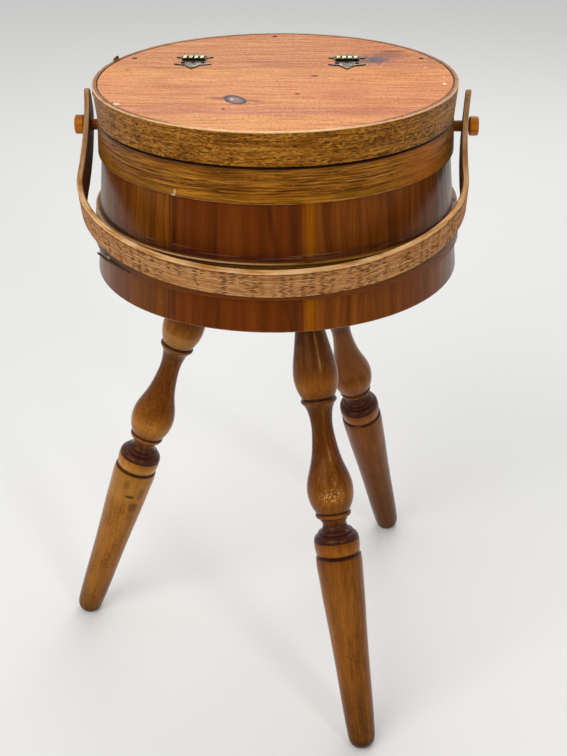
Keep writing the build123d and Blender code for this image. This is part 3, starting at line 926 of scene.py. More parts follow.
class Bench:
    """Edit-mode tools that act on one mesh, with faces and edges picked by a test."""

    def __init__(self, piece: bpy.types.Object) -> None:
        """Takes a piece on the bench, with nothing else selected."""
        self.piece = piece
        bpy.ops.object.select_all(action="DESELECT")
        piece.select_set(True)
        bpy.context.view_layer.objects.active = piece

    @classmethod
    def copy(cls, node: str, name: str) -> Bench:
        """Copies a frame node, welds its loose triangles and joins the flat ones.

        Args:
            node: The node.
            name: The copy's name.

        Returns:
            The bench that holds the copy.
        """
        piece = bpy.data.objects.new(name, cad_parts[node].data.copy())
        bpy.context.scene.collection.objects.link(piece)
        bench = cls(piece)
        bench.edit(Part.EDGE)
        bpy.ops.mesh.remove_doubles(threshold=WELD)
        bpy.ops.mesh.dissolve_limited(angle_limit=FLAT_ANGLE)
        bench.leave()
        if piece.data.has_custom_normals:
            bpy.ops.mesh.customdata_custom_splitnormals_clear()
        return bench

    @classmethod
    def block(cls, name: str, place: Vector, turn: float, size: Sequence[float]) -> Bench:
        """Adds a block at its size and place.

        Args:
            name: Its name.
            place: Its middle.
            turn: Its length's angle.
            size: Its length, width and height.

        Returns:
            The bench that holds it.
        """
        bpy.ops.object.select_all(action="DESELECT")
        bpy.ops.mesh.primitive_cube_add(size=1.0, location=place, rotation=(0, 0, math.radians(turn)))
        piece = bpy.context.object
        piece.name = piece.data.name = name
        piece.scale = size
        bpy.ops.object.transform_apply(location=True, rotation=True, scale=True)
        return cls(piece)

    def edit(self, kind: Part, test: Callable[[object], bool] = lambda _: True) -> int:
        """Enters edit mode with only what passes a test selected.

        Args:
            kind: What is picked.
            test: Takes an edge or a face of the mesh; everything passes if it isn't given.

        Returns:
            How many passed.
        """
        self.leave()
        mesh = self.piece.data
        for part in (*mesh.vertices, *mesh.edges, *mesh.polygons):
            part.select = False
        chosen = [part for part in getattr(mesh, kind.value) if test(part)]
        for part in chosen:
            part.select = True
        bpy.ops.object.mode_set(mode="EDIT")
        bpy.ops.mesh.select_mode(type=kind.name)
        return len(chosen)

    def leave(self) -> None:
        """Leaves edit mode, if the piece is in it."""
        if self.piece.mode == "EDIT":
            bpy.ops.object.mode_set(mode="OBJECT")

    def around(self, test: Callable[[bpy.types.MeshPolygon], bool]) -> set[tuple[int, int]]:
        """The edges of all faces that pass a test."""
        return {key for face in self.piece.data.polygons if test(face) for key in face.edge_keys}

    def done(self, angle: float) -> bpy.types.Object:
        """Leaves edit mode and smooths all edges but those sharper than an angle."""
        self.leave()
        bpy.ops.object.shade_smooth_by_angle(angle=math.radians(angle))
        return self.piece


# ---------------------------------------------------------------------------- sub-assemblies
@dataclass
class Tub:
    """The staves, the bottom and the two hoops, whose arc breaks at the cut."""

    axis: TubAxis
    rim_radius: float = 0.1456
    rim: float = 0.5366
    wall: float = 0.011
    flare: float = 0.0905
    upper_foot: float = 0.508
    lower_top: float = 0.462
    lower_foot: float = 0.4318
    lower_reach: float = 0.1563
    cut: float = 149.0
    inside: Colour = "a8794c"
    splinter_run: tuple[tuple[float, float, float], ...] = (
        (-156.0, 0.1621, 0.4334),
        (-153.6, 0.1610, 0.4318),
        (-149.8, 0.1600, 0.4324),
        (-144.4, 0.1592, 0.4335),
        (-136.5, 0.1584, 0.4340),
    )
    splinter_heights: tuple[float, ...] = (0.0012, 0.0018, 0.0018, 0.0014, 0.0006)
    splinter_depth: float = 0.0016
    splinter_bevel: float = 0.0002
    splinter_end: float = 0.8
    splinter_smooth: float = 40.0

    def finishes(self) -> list[StaveFinish]:
        """The seven staves' finishes, in the order of their names."""
        deep, brown, red, honey, violet = "3a1606", "5a2a0a", "6e340c", "8c4e03", "30120e"
        return [
            StaveFinish(
                "stave_centre", "542307", "5e2809", "68300c", 0.16, 1,
                (
                    Streak(-105.6, 1.5, "341208", 0.6, 0.0016, 0.04),
                    Streak(-88.2, 1.4, "341208", 0.6, 0.0014, 0.16),
                    Streak(-82.2, 2.2, violet, 0.65, 0.0003),
                    Streak(-119.2, 1.2, violet, 0.65, 0.0002),
                ),
            ),
            StaveFinish(
                "stave_right", "58290b", "6c360e", "7e4416", 0.5, 2,
                (
                    Streak(-79.9, 0.12, "a06c30", 0.5, 0.0),
                    Streak(-77.6, 2.7, honey, 1.0, 0.0003),
                    Streak(-51.0, 2.6, deep, 0.15),
                    Streak(-36.0, 2.2, deep, 0.4, 0.0008),
                ),
            ),
            StaveFinish("stave_far_right", "48281c", "603a24", "744c34", 0.5, 3),
            StaveFinish("stave_back_right", deep, brown, red, 0.5, 4, (Streak(60.0, 5.0, honey, 0.5),)),
            StaveFinish("stave_back", "4a1f09", "60300c", "703c12", 0.4, 5),
            StaveFinish("stave_back_left", deep, brown, red, 0.6, 6, (Streak(150.0, 4.0, honey, 0.6),)),
            StaveFinish(
                "stave_left", "562a08", "6c380a", "824a0c", 0.8, 7,
                (
                    Streak(-146.0, 7.0, "683216", 0.7),
                    Streak(-134.0, 2.2, "7a4404", 0.5, 0.0004),
                    Streak(-129.0, 1.2, deep, 0.5, 0.0004),
                    Streak(-125.0, 2.2, "864c06", 0.7, 0.0004),
                    Streak(-121.2, 0.6, deep, 0.85, 0.0002),
                ),
                low=0.3,
            ),
        ]

    def arc(self, angle: float) -> float:
        """The arc at an angle, as the hoops' finishes read it."""
        return self.axis.arc(angle, self.cut)

    def upper_hoop(self) -> None:
        """Dresses the upper hoop, nicked at its foot near the front, with painted shade and a painted
        shadow line under the lid's band.
        """
        golden = OakFinish(
            "upper_hoop_oak", "5a3004", "804c12", "b0762a", "341a04",
            streak_size=(0.07, 0.0014), pore_share=0.6, pore_size=(0.020, 0.0007), fleck=0.25,
            roughness=0.34, level=0.22,
        )
        paint, rim, foot = Paint(golden.name), self.rim, self.upper_foot
        arc, height, radius = self.axis.wrap(paint, self.cut)
        pores, fibre = golden.draw(paint, arc, height, radius)
        # Painted shade under the lid's band darkens the top of the hoop.
        paint.lay(height.step(rim - 0.0055, rim - 0.001) * 0.6, "5c3414")
        paint.lay(height.near(foot + 0.004, 0.005) * 0.4, "a06814")
        paint.lay(arc.near(self.arc(-36.0), 0.055) * 0.65, "aa5c0c")
        paint.lay(height.step(foot + 0.0011, foot + 0.0004) * 0.6 * fibre.step(0.35, 0.5), "c08c64")
        nick = arc.near(self.arc(-118.6), 0.0014) * height.near(foot + 0.0035, 0.0030)
        chip = arc.near(self.arc(-119.3), 0.0030) * height.near(foot + 0.0007, 0.0012)
        rough = paint.noise(paint.join(arc, height, radius), (0.0015, 0.002, 0.002), 0, 2)
        paint.lay(nick.most(chip) * rough.step(0.3, 0.55), "f0dcac")
        # A painted shadow line where the band overhangs the hoop's top edge.
        paint.lay(height.step(rim - 0.0015, rim - 0.0009), PAINTED_GAP_SHADOW)
        dress(golden.shine(paint, pores, fibre), "upper_hoop")

    def lower_hoop(self) -> None:
        """Dresses the lower hoop: a painted highlight on its top edge, and its foot darkened by stain
        and painted shade, torn at the left.
        """
        olive = OakFinish(
            "lower_hoop_oak", "3c2206", "58360c", "745016", "2c1604",
            streak_size=(0.09, 0.0022), pore_share=0.35, pore_size=(0.014, 0.0008), fleck=0.2,
            roughness=0.34, level=0.22, seed=4,
        )
        paint, rim, foot, reach = Paint(olive.name), self.lower_top, self.lower_foot, self.lower_reach
        arc, height, radius = self.axis.wrap(paint, self.cut)
        pores, fibre = olive.draw(paint, arc, height, radius)
        # The top edge gets a painted highlight: cream at the left, olive at the right, and brown on its
        # inner part.
        pale = paint.mix(arc.step(self.arc(-70.0), self.arc(-112.0)), "8e601e", "c8986c")
        upper = paint.mix(radius.step(reach - 0.0011, reach - 0.0017), pale, "6a4416")
        paint.lay(height.step(rim - 0.0010, rim - 0.0004) * fibre.step(0.25, 0.42), upper)
        # The foot is laid dark: the staves' red-brown at the right, and dark brown at the left, where
        # stain and painted shade lie under the splinter.
        dark_band = paint.mix(arc.step(self.arc(-128.0), self.arc(-146.0)), "6c3616", "30180a")
        paint.lay(height.step(foot + 0.0075, foot + 0.0035) * 0.85, dark_band)
        paint.lay(arc.near(self.arc(-150.0), 0.0048) * height.near(foot + 0.0023, 0.0013), "f0d8b0")
        dress(olive.shine(paint, pores, fibre), "lower_hoop")

    def splinter(self) -> None:
        """Models the sliver torn from the lower hoop's foot at the left, bent down and outwards."""
        points, heights = [self.axis.place(*place) for place in self.splinter_run], self.splinter_heights
        ahead = points[1] - points[0]
        turn = math.degrees(math.atan2(ahead.y, ahead.x))
        size = (ahead.length, self.splinter_depth, heights[0])
        bench = Bench.block("hoop_splinter", points[0] + ahead / 2, turn, size)
        along = ahead.normalized()
        for index, here in enumerate(points[1:], start=1):
            ends = bench.edit(Part.FACE, lambda face: face.normal.dot(along) > self.splinter_end)
            if index > 1:
                chosen = (face.center for face in bench.piece.data.polygons if face.select)
                move = here - sum(chosen, Vector()) / max(ends, 1)
                bpy.ops.mesh.extrude_region_move(TRANSFORM_OT_translate={"value": move})
            grow = heights[index] / heights[index - 1]
            bpy.ops.transform.resize(value=(1, 1, grow), center_override=here)
            if index + 1 < len(points):
                step = points[index + 1] - here
                swing = math.atan2(step.y, step.x) - math.atan2(along.y, along.x)
                bpy.ops.transform.rotate(value=-swing / 2, orient_axis="Z", center_override=here)
                along = step.normalized()
        bench.edit(Part.EDGE)
        bpy.ops.mesh.subdivide(number_cuts=1)
        bpy.ops.mesh.bevel(offset=self.splinter_bevel, segments=1)
        piece = bench.done(self.splinter_smooth)
        torn = OakFinish(
            "torn_oak", "3c2814", "5c4226", "7c6040", "241408",
            pore_share=0.4, fleck=0.1, roughness=0.6, level=0.1, seed=5,
        )
        paint = Paint(torn.name)
        dress(torn.make(paint, *self.axis.wrap(paint, self.cut)), piece)
        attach(piece, "tub")
        log.info("tub: splinter on the lower hoop, %d faces", len(piece.data.polygons))

    def build(self) -> None:
        """Dresses the staves, the bottom and the hoops."""
        wall = (self.rim_radius - self.wall / 2, self.rim, self.flare)
        for index, finish in enumerate(self.finishes(), start=1):
            dress(finish.make(self.axis, self.inside, wall), f"stave_{index}")
        self.upper_hoop()
        self.lower_hoop()
        self.splinter()
        bottom = OakFinish(
            "bottom_pine", "8a6038", "a87c4c", "c09664", "6c4a28",
            pore_share=0.1, level=0.1, roughness=0.6, seed=3,
        )
        paint = Paint(bottom.name)
        dress(bottom.make(paint, *paint.split(paint.place(self.axis.level()))), "bottom_board")
        log.info("tub: staves, bottom and hoops dressed")


@dataclass
class Lid:
    """The two boards and their oak bands, whose arc breaks at the cut."""

    axis: TubAxis
    top: float = 0.565
    foot: float = 0.537
    seam: float = 0.049
    radius: float = 0.1525
    cut: float = 139.0
    underside: Colour = "b08658"
    chip_ahead: float = 0.0045
    chip_size: tuple[float, float, float] = (0.0075, 0.0017, 0.0024)
    chip_sunk: float = 0.0016
    chip_raised: float = 0.0004
    chip_bend: tuple[float, float, float] = (0.0008, 0.0012, 0.0018)
    chip_taper: float = 0.35
    chip_fray: float = 0.3
    chip_smooth: float = 25.0

    def finish(self) -> LidFinish:
        """The boards' finish."""
        smear, resin = (0.0028, 0.0060), "4a1c10"
        bands = (
            (0.0, "eaa266"),
            (0.13, "e29a62"),
            (0.17, "cc8266"),
            (0.22, "de9260"),
            (0.38, "de9260"),
            (0.52, "e0945c"),
            (0.56, "e69e5c"),
            (0.62, "d28a5c"),
            (0.74, "cc8458"),
            (0.86, "d08a58"),
            (1.0, "c88050"),
        )
        marks = (
            Mark(0.0327, 0.0026, (0.0034, 0.0030), -6.0, resin, 0.9),
            Mark(0.0196, -0.0512, (0.0027, 0.0022), -10.0, resin, 0.9),
            Mark(-0.0362, -0.0935, (0.0012, 0.004), 0.0, "5a2c1c"),
            Mark(-0.127, 0.020, (0.0035, 0.0018), 0.0, "5a3424", 0.6),
            Mark(0.0970, 0.0720, (0.0130, 0.0150), 50.0, "8c4c3c", 0.6, smear, 2.6, (1.7, 0.2)),
            Mark(0.0840, 0.0560, (0.0150, 0.0150), 0.0, "8c6460", 0.7, smear, 2.4, (1.7, 0.2)),
            Mark(0.0830, 0.0560, (0.0115, 0.0110), 0.0, "56505c", 0.85, smear, 2.6, (1.6, 0.1)),
            Mark(0.1010, 0.0850, (0.0120, 0.0028), 2.0, "5a3024"),
            Mark(0.1394, -0.0194, (0.0020, 0.0022), 0.0, "fce8cc", 0.9),
            Mark(0.1400, 0.0010, (0.0014, 0.0018), 0.0, "f4d4ac", 0.5),
            Mark(0.1270, 0.0310, (0.0022, 0.0016), 0.0, "f4d4ac", 0.6),
            Mark(-0.1216, -0.081, (0.0032, 0.0030), -35.0, "f4e0c4", 0.85),
            Mark(0.133, 0.060, (0.0060, 0.0070), 0.0, "8a6458", 0.5),
        )
        return LidFinish("lid_pine", bands, marks)

    def chip(self) -> None:
        """Models the sliver that stands up from the rear band's end at the left."""
        end = -math.sqrt(self.radius**2 - self.seam**2)
        angle = math.degrees(math.atan2(self.seam + self.chip_ahead, end))
        foot = self.axis.place(angle, self.radius - self.chip_sunk, self.top + self.chip_raised)
        bench = Bench.block("band_splinter", foot, angle - 90, self.chip_size)
        bench.edit(Part.FACE, lambda face: face.normal.z > SQUARE)
        bpy.ops.mesh.extrude_region_move(TRANSFORM_OT_translate={"value": self.chip_bend})
        bpy.ops.transform.resize(value=(self.chip_taper, self.chip_taper, 1))
        bench.edit(Part.EDGE)
        bpy.ops.mesh.subdivide(number_cuts=1, fractal=self.chip_fray, seed=4)
        piece = bench.done(self.chip_smooth)
        dark = OakFinish(
            "torn_band_oak", "4a3a20", "6c5a36", "8c7c50", "241a0c",
            pore_share=0.4, fleck=0.1, roughness=0.6, level=0.1, seed=6,
        )
        paint = Paint(dark.name)
        dress(dark.make(paint, *self.axis.wrap(paint, self.cut)), piece)
        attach(piece, "tub")
        log.info("lid: splinter on the rear band, %d faces", len(piece.data.polygons))

    def bands(self) -> None:
        """Dresses the bands, whose upper edge is rubbed pale and dark where it meets the boards, with a
        painted shadow line along their foot.
        """
        olive = OakFinish(
            "band_oak", "663a0c", "845014", "ae762c", "40240a",
            streak_size=(0.05, 0.0018), pore_share=0.62, pore_size=(0.0040, 0.0008), fleck=0.9,
            spread=0.40, level=0.22, relief=0.0006, seed=11,
        )
        paint, reach = Paint(olive.name), self.radius
        arc, height, radius = self.axis.wrap(paint, self.cut)
        pores, fibre = olive.draw(paint, arc, height, radius)
        back = paint.split(paint.place(self.axis.level()))[1]
        shades = ((0.2, "f0bc84"), (0.5, "e4b078"), (0.7, "cc9c60"), (1.0, "b88c54"))
        edge = paint.ramp(back * (0.5 / reach) + 0.5, shades)
        rough = paint.noise(paint.join(arc, height, radius), (0.006, 0.002, 0.002), 2, 2)
        ragged = (rough - 0.5) * 0.0014 + radius
        body = paint.mix(ragged.step(reach - 0.0031, reach - 0.0038), "9c6a40", "3c2216")
        inward = ragged.step(reach - 0.0008, reach - 0.0014) * back.step(-0.146, -0.120)
        top = height.step(self.top - 0.0009, self.top - 0.0004)
        paint.lay(top * fibre.step(0.2, 0.42), paint.mix(inward, edge, body))
        # A painted shadow line along the band's lower edge, over the gap to the hoop.
        paint.lay(height.step(self.foot + 0.0010, self.foot + 0.0005), PAINTED_GAP_SHADOW)
        dress(olive.shine(paint, pores, fibre), "front_band", "rear_band")

    def build(self) -> None:
        """Dresses the boards and the bands."""
        pine = self.finish().make(self.axis, self.top, self.underside)
        dress(pine, "front_board", "rear_board")
        self.bands()
        self.chip()
        log.info("lid: boards and bands dressed")


@dataclass
class Hinges:
    """The two pointed hinges, remade from the frame's leaves with worn rims, and all the nails."""

    lid_top: float = 0.565
    leaf_thickness: float = 0.0011
    rim: float = 0.00025
    knuckle_round: float = 0.0008
    sides: tuple[str, ...] = ("left", "right")
    clear: float = 0.0002
    level_slack: float = 2e-5
    smooth: float = 35.0
    bodies: dict[str, str] = field(default_factory=lambda: {"front": "lid", "rear": "tub"})

    def leaf(self, half: str, side: str, finishes: Sequence[bpy.types.Material]) -> None:
        """Remakes one leaf: its knuckles' ends are rounded and its upper rim is worn.

        Args:
            half: Front or rear.
            side: Left or right.
            finishes: The leaf's, the rim's, the knuckles' and the knuckle ends' materials.
        """
        node = f"{half}_leaf_{side}"
        bench = Bench.copy(node, f"{half}_hinge_leaf_{side}")
        piece = bench.piece
        dress(finishes[0], piece)
        for finish in finishes[1:]:
            piece.data.materials.append(finish)
        level = self.lid_top + self.leaf_thickness
        bench.edit(Part.FACE, lambda face: face.center.z > level + self.clear)
        piece.active_material_index = 2
        bpy.ops.object.material_slot_assign()
        bench.leave()
        knuckle = level + 2 * self.clear
        ends = bench.around(lambda face: abs(face.normal.x) > SQUARE and face.center.z > knuckle)
        bench.edit(Part.EDGE, lambda edge: edge.key in ends)
        bpy.ops.mesh.bevel(offset=self.knuckle_round, segments=2, material=3)
        bench.leave()
        slack = self.level_slack
        top = bench.around(lambda face: face.normal.z > SQUARE and abs(face.center.z - level) < slack)
        rim = top & bench.around(lambda face: abs(face.normal.z) < STEEP and face.center.z < level)
        count = bench.edit(Part.EDGE, lambda edge: edge.key in rim)
        bpy.ops.mesh.bevel(offset=self.rim, segments=2, material=1)
        bench.done(self.smooth)
        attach(piece, self.bodies[half])
        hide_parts(node)
        log.info("hinges: %s, %d rim edges, %d faces", piece.name, count, len(piece.data.polygons))

    def build(self) -> None:
        """Makes the leaves and dresses the pins and nails."""
        metals = (
            # The first three lay painted shade on the leaves' sides and under the knuckles.
            MetalFinish("hinge_brass", "544834", "8c8068", 0.55, 0.5, 0.004, 0.6, shade_limit=0.6),
            MetalFinish("hinge_rim_brass", "5c5440", "a89e80", 0.5, 0.4, 0.003, 0.6, shade_limit=0.45),
            MetalFinish("knuckle_brass", "d8c478", "fff4c0", 0.8, 0.3, 0.003, 0.5, shade_limit=0.5),
            # The knuckles' rounded ends are painted near black, as painted shade in the gaps between the
            # knuckles.
            MetalFinish("knuckle_dark", "14120c", "2c281c", 0.3, 0.6, 0.002, 0.5),
        )
        finishes = [metal.make() for metal in metals]
        for half in self.bodies:
            for side in self.sides:
                self.leaf(half, side, finishes)
        fittings = {
            r"hinge_pin.*": MetalFinish("hinge_pin_brass", "9c8c50", "e8dc9c", 0.6, 0.3, 0.003),
            r"(?!.*band).*(nails|screws|bolts)": MetalFinish(
                "nail_steel", "120c08", "2c221a", 0.3, 0.6, 0.0012, 0.0, 0.1
            ),
            r".*(brads|tacks|band_nails)": MetalFinish(
                "brad_steel", "5a380f", "74501c", 0.3, 0.6, 0.0012, 0.0, 0.15
            ),
            r"leg_plate.*": MetalFinish("plate_steel", "8c8c8a", "b8b8b4", 0.4, 0.4, 0.004),
        }
        for pattern, metal in fittings.items():
            dress(metal.make(), *(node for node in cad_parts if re.fullmatch(pattern, node)))
        log.info("metal: hinges, nails and plates dressed")


@dataclass
class Handle:
    """The bent oak bail and its pegs."""

    axis: TubAxis
    peg_height: float = 0.5235
    droop: float = 23.9
    inside: float = 0.1532
    bow_start: float = 0.07496
    bow_depth: float = 0.104
    bow_reach: float = 0.13
    arm_spread: float = 0.004
    half_width: float = 0.0137

    def run(self, graph: Graph) -> tuple[Signal, Signal, Signal]:
        """Reads a place as metres along the bent strip, across it and out from its inner face."""
        turn = Matrix.Rotation(math.radians(180 + self.droop), 4, "X")
        x, y, z = graph.split(graph.place(self.axis.level(self.peg_height) @ turn))
        ahead = y - self.bow_start
        bow, wide, behind = ahead.most(0.0) / self.bow_depth, x / self.inside, (ahead * -1.0).most(0.0)
        along = graph.math("ARCTAN2", wide, bow) * self.bow_reach + graph.math("SIGN", x) * behind
        out = (graph.math("SQRT", wide * wide + bow * bow) - 1.0) * self.inside
        return along, z, out - behind * behind * (self.arm_spread / self.bow_start**2)

    def build(self) -> None:
        """Dresses the bail and the pegs."""
        tan = OakFinish(
            "handle_oak", "8e5a2b", "ae7644", "ca9864", "3c2008",
            streak_size=(0.05, 0.0014), pore_share=0.3, pore_size=(0.0050, 0.0010), wander=0.0015,
            row_size=(0.012, 0.0040), gather=0.6, dash=(0.0062, 0.0018), fleck=0.4,
            roughness=0.55, level=0.12, seed=21,
        )
        paint, edge = Paint(tan.name), self.half_width
        along, across, depth = self.run(paint)
        pores, fibre = tan.draw(paint, along, across, depth)
        upper = across * -1.0
        # Painted shade: a thin dark line along the chamfer below the top edge.
        paint.lay(upper.near(edge - 0.0019, 0.0011) * 0.9 * fibre.step(0.3, 0.5), "50300f")
        # The top edge is pale with wear and a painted highlight; the arms are then laid darker, which
        # dims that highlight there.
        rim = paint.ramp(fibre, ((0.35, "b87c40"), (0.6, "ecbe86")))
        paint.lay(upper.step(edge - 0.0010, edge - 0.0004) * 0.8, rim)
        paint.lay(abs(along).step(0.16, 0.23) * 0.5, "70462a")
        paint.lay(depth.step(0.0012, 0.0002) * 0.75, "38200f")
        dress(tan.shine(paint, pores, fibre), "handle")
        peg = TurnedFinish("peg_wood", ((-0.2, "b86c18"), (0.2, "b86c18")), 2)
        sideways = self.axis.level(self.peg_height) @ Matrix.Rotation(math.pi / 2, 4, "Y")
        dress(peg.make(sideways), "peg_left", "peg_right")
        log.info("handle: bail and pegs dressed")


@dataclass(frozen=True)
class Leg:
    """One leg's place, and what sets its finish apart.

    Attributes:
        name: Left, front or right.
        reach: How far its head is from the tub's axis.
        angle: Of its head, round that axis.
        lean: Angle towards which it leans.
        deep: How much darker its stain is.
        wear: Where its specks of wear gather, and how strong they are.
        painted_sheen: Lighter bands of painted sheen, laid as a turned finish's rings.
        dark_marks: Dark marks: bruises, and painted shade where the leg has it.
    """

    name: str
    reach: float
    angle: float
    lean: float
    deep: float
    wear: tuple[float, float, float]
    painted_sheen: tuple[Ring, ...]
    dark_marks: tuple[DarkMark, ...]


@dataclass
class Legs:
    """Three turned legs, each with its own place under the tub and its own lean."""

    axis: TubAxis
    stave_foot: float = 0.404
    tilt: float = 19.29
    legs: tuple[Leg, ...] = (
        Leg(
            "left", 0.0636, 164.1, 183.4, 0.0, (0.186, -81.0, 0.2),
            # Lighter bands of painted sheen on the ball and the cone.
            ((0.096, 0.011, 0.2, "ce9f5c"), (0.256, 0.030, 0.22, "ce9747")),
            (
                DarkMark(0.2698, -91.0, (0.0022, 0.0062), 0.85),
                DarkMark(0.2815, -110.0, (0.0075, 0.0060), 0.5),
                DarkMark(0.2570, -72.0, (0.0080, 0.0036), 0.4),
                DarkMark(0.2660, -122.0, (0.0090, 0.0045), 0.4),
            ),
        ),
        Leg(
            "front", 0.0600, 294.4, 293.9, 0.7, (0.187, 134.5, 0.8), (),
            (
                DarkMark(0.392, 128.0, (0.0220, 0.0045), 0.4),
                DarkMark(0.350, 140.0, (0.0100, 0.0025), 0.3),
            ),
        ),
        Leg(
            # Its light band is painted sheen on the vase's neck.
            "right", 0.0665, 58.5, 54.8, 0.9, (0.186, 11.9, 0.1), ((0.150, 0.034, 0.42, "8c5832"),),
            # Its wide dark mark is painted shade over the lower cone.
            (DarkMark(0.352, 12.0, (0.080, 0.070), 0.35),),
        ),
    )
    zones: tuple[tuple[float, Colour], ...] = (
        (0.000, "2a1608"),
        (0.030, "3c2008"),
        (0.055, "562e0e"),
        (0.074, "6c3d12"),
        (0.090, "a46824"),
        (0.100, "7c4a16"),
        (0.105, "6a3e14"),
        (0.113, "542c08"),
        (0.140, "5a2c08"),
        (0.168, "643206"),
        (0.178, "80480c"),
        (0.190, "a86c20"),
        (0.203, "784614"),
        (0.2076, "8c5a24"),
        (0.2125, "5a2c18"),
        (0.2295, "582c1c"),
        (0.2318, "94581a"),
        (0.2400, "b47424"),
        (0.2450, "7c4a14"),
        (0.2490, "925b1c"),
        (0.300, "a06828"),
        (0.350, "986024"),
        (0.395, "83541e"),
        (0.416, "6f4519"),
        (0.425, "2c1a10"),
    )
    rings: tuple[Ring, ...] = (
        (0.1027, 0.0016, 0.92, "2c120c"),
        (0.2052, 0.0015, 0.90, "2c120c"),
        (0.2104, 0.0013, 0.60, "2c120c"),
        (0.2225, 0.0086, 0.74, "30161a"),
        (0.2302, 0.0015, 0.90, "240e0e"),
        (0.2445, 0.0021, 0.92, "2c120c"),
    )

    def frame(self, leg: Leg) -> Matrix:
        """A leg's frame, with Z down its axis from the level of the stave ends."""
        tilt, lean = math.radians(self.tilt), math.radians(leg.lean)
        down = (math.sin(tilt) * math.cos(lean), math.sin(tilt) * math.sin(lean), -math.cos(tilt))
        turn = Vector((0, 0, 1)).rotation_difference(Vector(down)).to_matrix().to_4x4()
        return Matrix.Translation(self.axis.place(leg.angle, leg.reach, self.stave_foot)) @ turn

    def build(self) -> None:
        """Dresses the legs."""
        for number, leg in enumerate(self.legs):
            # A leg's painted sheen goes in among the rings, before the grooves' rings.
            finish = TurnedFinish(
                f"leg_{leg.name}_maple", self.zones, 3 * number, (*leg.painted_sheen, *self.rings),
                leg.dark_marks, leg.wear, leg.deep,
            )
            dress(finish.make(self.frame(leg)), f"leg_{leg.name}")
        log.info("legs: dressed")


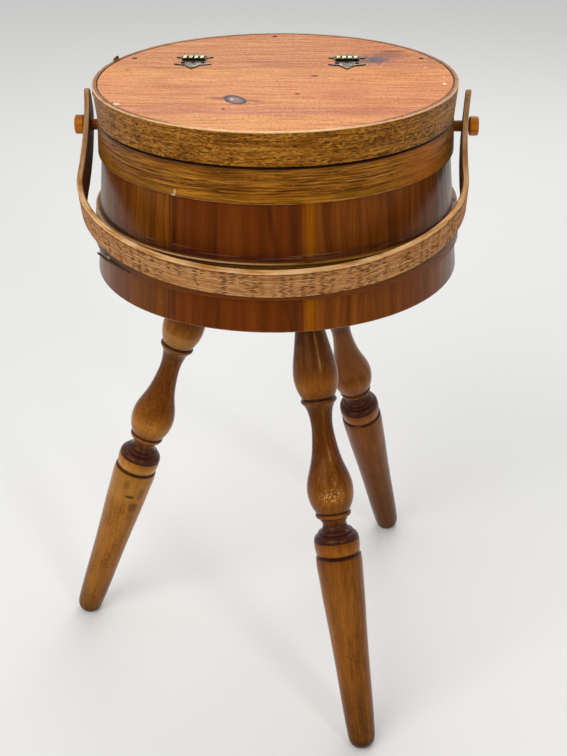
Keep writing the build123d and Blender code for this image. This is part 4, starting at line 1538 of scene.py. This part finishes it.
# ---------------------------------------------------------------------------- studio
@dataclass
class Studio:
    """Floor, world, lamps and camera, whose angles are in radians.

    Attributes:
        axis: The tub's axis.
        lid_top: Height at which the camera is aimed before it is turned.
        unit: The length in which the camera's distance is given.
        focal: Focal length, in pixels.
        height: Of the picture, in pixels.
        azimuth: Of the camera, from the front.
        elevation: Of the camera.
        distance: Of the camera, in units.
        yaw: How far the camera is then turned to the right.
        pitch: How far it is turned down.
        roll: How far it is tilted.
        lamps: Name, place, height aimed at, side and power of each lamp.
        sensor: Size of the camera's sensor, in millimetres.
        clip: Nearest and furthest that the camera sees.
        floor_side: The floor's side.
        paper: The floor's colour.
        sky: Where the world's light starts and stops to grow backwards, and its strength there.
        backdrop: Strength at which the world itself is seen.
        sky_colour: The world's colour.
    """

    axis: TubAxis
    lid_top: float = 0.565
    unit: float = 0.1525
    focal: float = 1314.2
    height: float = 756.0
    azimuth: float = 0.0453
    elevation: float = 0.2651
    distance: float = 7.3823
    yaw: float = 0.0040
    pitch: float = 0.2254
    roll: float = -0.0091
    lamps: tuple[tuple[str, Linear, float, float, float], ...] = (
        ("key", (-1.2, -1.7, 2.0), 0.4, 2.0, 34.0),
        ("fill", (1.3, -1.9, 1.5), 0.35, 0.35, 9.0),
        ("back", (0.3, 1.6, 1.8), 0.5, 1.4, 12.0),
    )
    sensor: float = 36.0
    clip: tuple[float, float] = (0.05, 50.0)
    floor_side: float = 16.0
    paper: Colour = "efeeeb"
    sky: tuple[float, ...] = (-0.3, 0.5, 0.42, 0.95)
    backdrop: float = 0.9
    sky_colour: Colour = "f4f5f7"

    def camera(self) -> None:
        """Adds the camera."""
        data = bpy.data.cameras.new("camera")
        data.sensor_width = self.sensor
        data.lens = self.focal * self.sensor / self.height
        data.clip_start, data.clip_end = self.clip
        camera = bpy.data.objects.new("camera", data)
        bpy.context.scene.collection.objects.link(camera)
        away = Vector((
            math.sin(self.azimuth) * math.cos(self.elevation),
            -math.cos(self.azimuth) * math.cos(self.elevation),
            math.sin(self.elevation),
        ))
        forward = -away
        right = forward.cross(Vector((0, 0, 1))).normalized()
        up = right.cross(forward)
        ahead = forward * math.cos(self.yaw) + right * math.sin(self.yaw)
        right = right * math.cos(self.yaw) - forward * math.sin(self.yaw)
        look = ahead * math.cos(self.pitch) - up * math.sin(self.pitch)
        above = up * math.cos(self.pitch) + ahead * math.sin(self.pitch)
        side = right * math.cos(self.roll) + above * math.sin(self.roll)
        above = above * math.cos(self.roll) - right * math.sin(self.roll)
        place = Vector((self.axis.x, self.axis.y, self.lid_top)) + away * self.distance * self.unit
        turn = Matrix((side, above, -look)).transposed().to_4x4()
        camera.matrix_world = Matrix.Translation(place) @ turn
        bpy.context.scene.camera = camera

    def lamp(self, name: str, place: Linear, aim: float, size: float, power: float) -> None:
        """Adds a square area lamp.

        Args:
            name: Its name.
            place: Where it stands.
            aim: Height above the origin at which it points.
            size: Its side.
            power: In watts.
        """
        data = bpy.data.lights.new(name, "AREA")
        data.size, data.energy = size, power
        lamp = bpy.data.objects.new(name, data)
        bpy.context.scene.collection.objects.link(lamp)
        turn = (Vector((0, 0, aim)) - Vector(place)).to_track_quat("-Z", "Y")
        lamp.matrix_world = Matrix.Translation(place) @ turn.to_matrix().to_4x4()

    def floor(self) -> None:
        """Adds the pale floor."""
        bpy.ops.object.select_all(action="DESELECT")
        bpy.ops.mesh.primitive_plane_add(size=self.floor_side)
        floor = bpy.context.object
        floor.name = "floor"
        dress(Paint("floor_paper", self.paper).shine(0.7, 0.2, warmth=WHITE), floor)

    def world(self) -> None:
        """Adds a pale world, brighter behind the object than in front of it."""
        world = bpy.data.worlds.new("studio")
        bpy.context.scene.world = world
        graph = Graph(world)
        behind = graph.split(graph.node("TexCoord", out="Generated"))[1]
        spread = graph.node("MapRange", behind, *self.sky, interpolation_type="SMOOTHSTEP")
        seen = graph.node("LightPath", out="Is Camera Ray")
        for ray in ("Is Glossy Ray", "Is Transmission Ray"):
            seen = seen.most(graph.node("LightPath", out=ray))
        background = graph.tree.nodes["Background"].inputs
        graph.feed(background["Strength"], graph.node("Mix", seen, None, spread, self.backdrop))
        graph.feed(background["Color"], self.sky_colour)

    def build(self) -> None:
        """Builds the studio."""
        self.floor()
        self.world()
        for lamp in self.lamps:
            self.lamp(*lamp)
        self.camera()
        bpy.context.scene.view_settings.view_transform = "Standard"
        log.info("studio: floor, world, lamps and camera")


def main() -> None:
    """Builds every sub-assembly and the studio."""
    logging.basicConfig(level=logging.INFO, format="%(name)s: %(message)s")
    axis = TubAxis(0.020086, 0.005685)
    for part in (Tub(axis), Lid(axis), Hinges(), Handle(axis), Legs(axis), Studio(axis)):
        part.build()


if __name__ == "__main__":
    main()
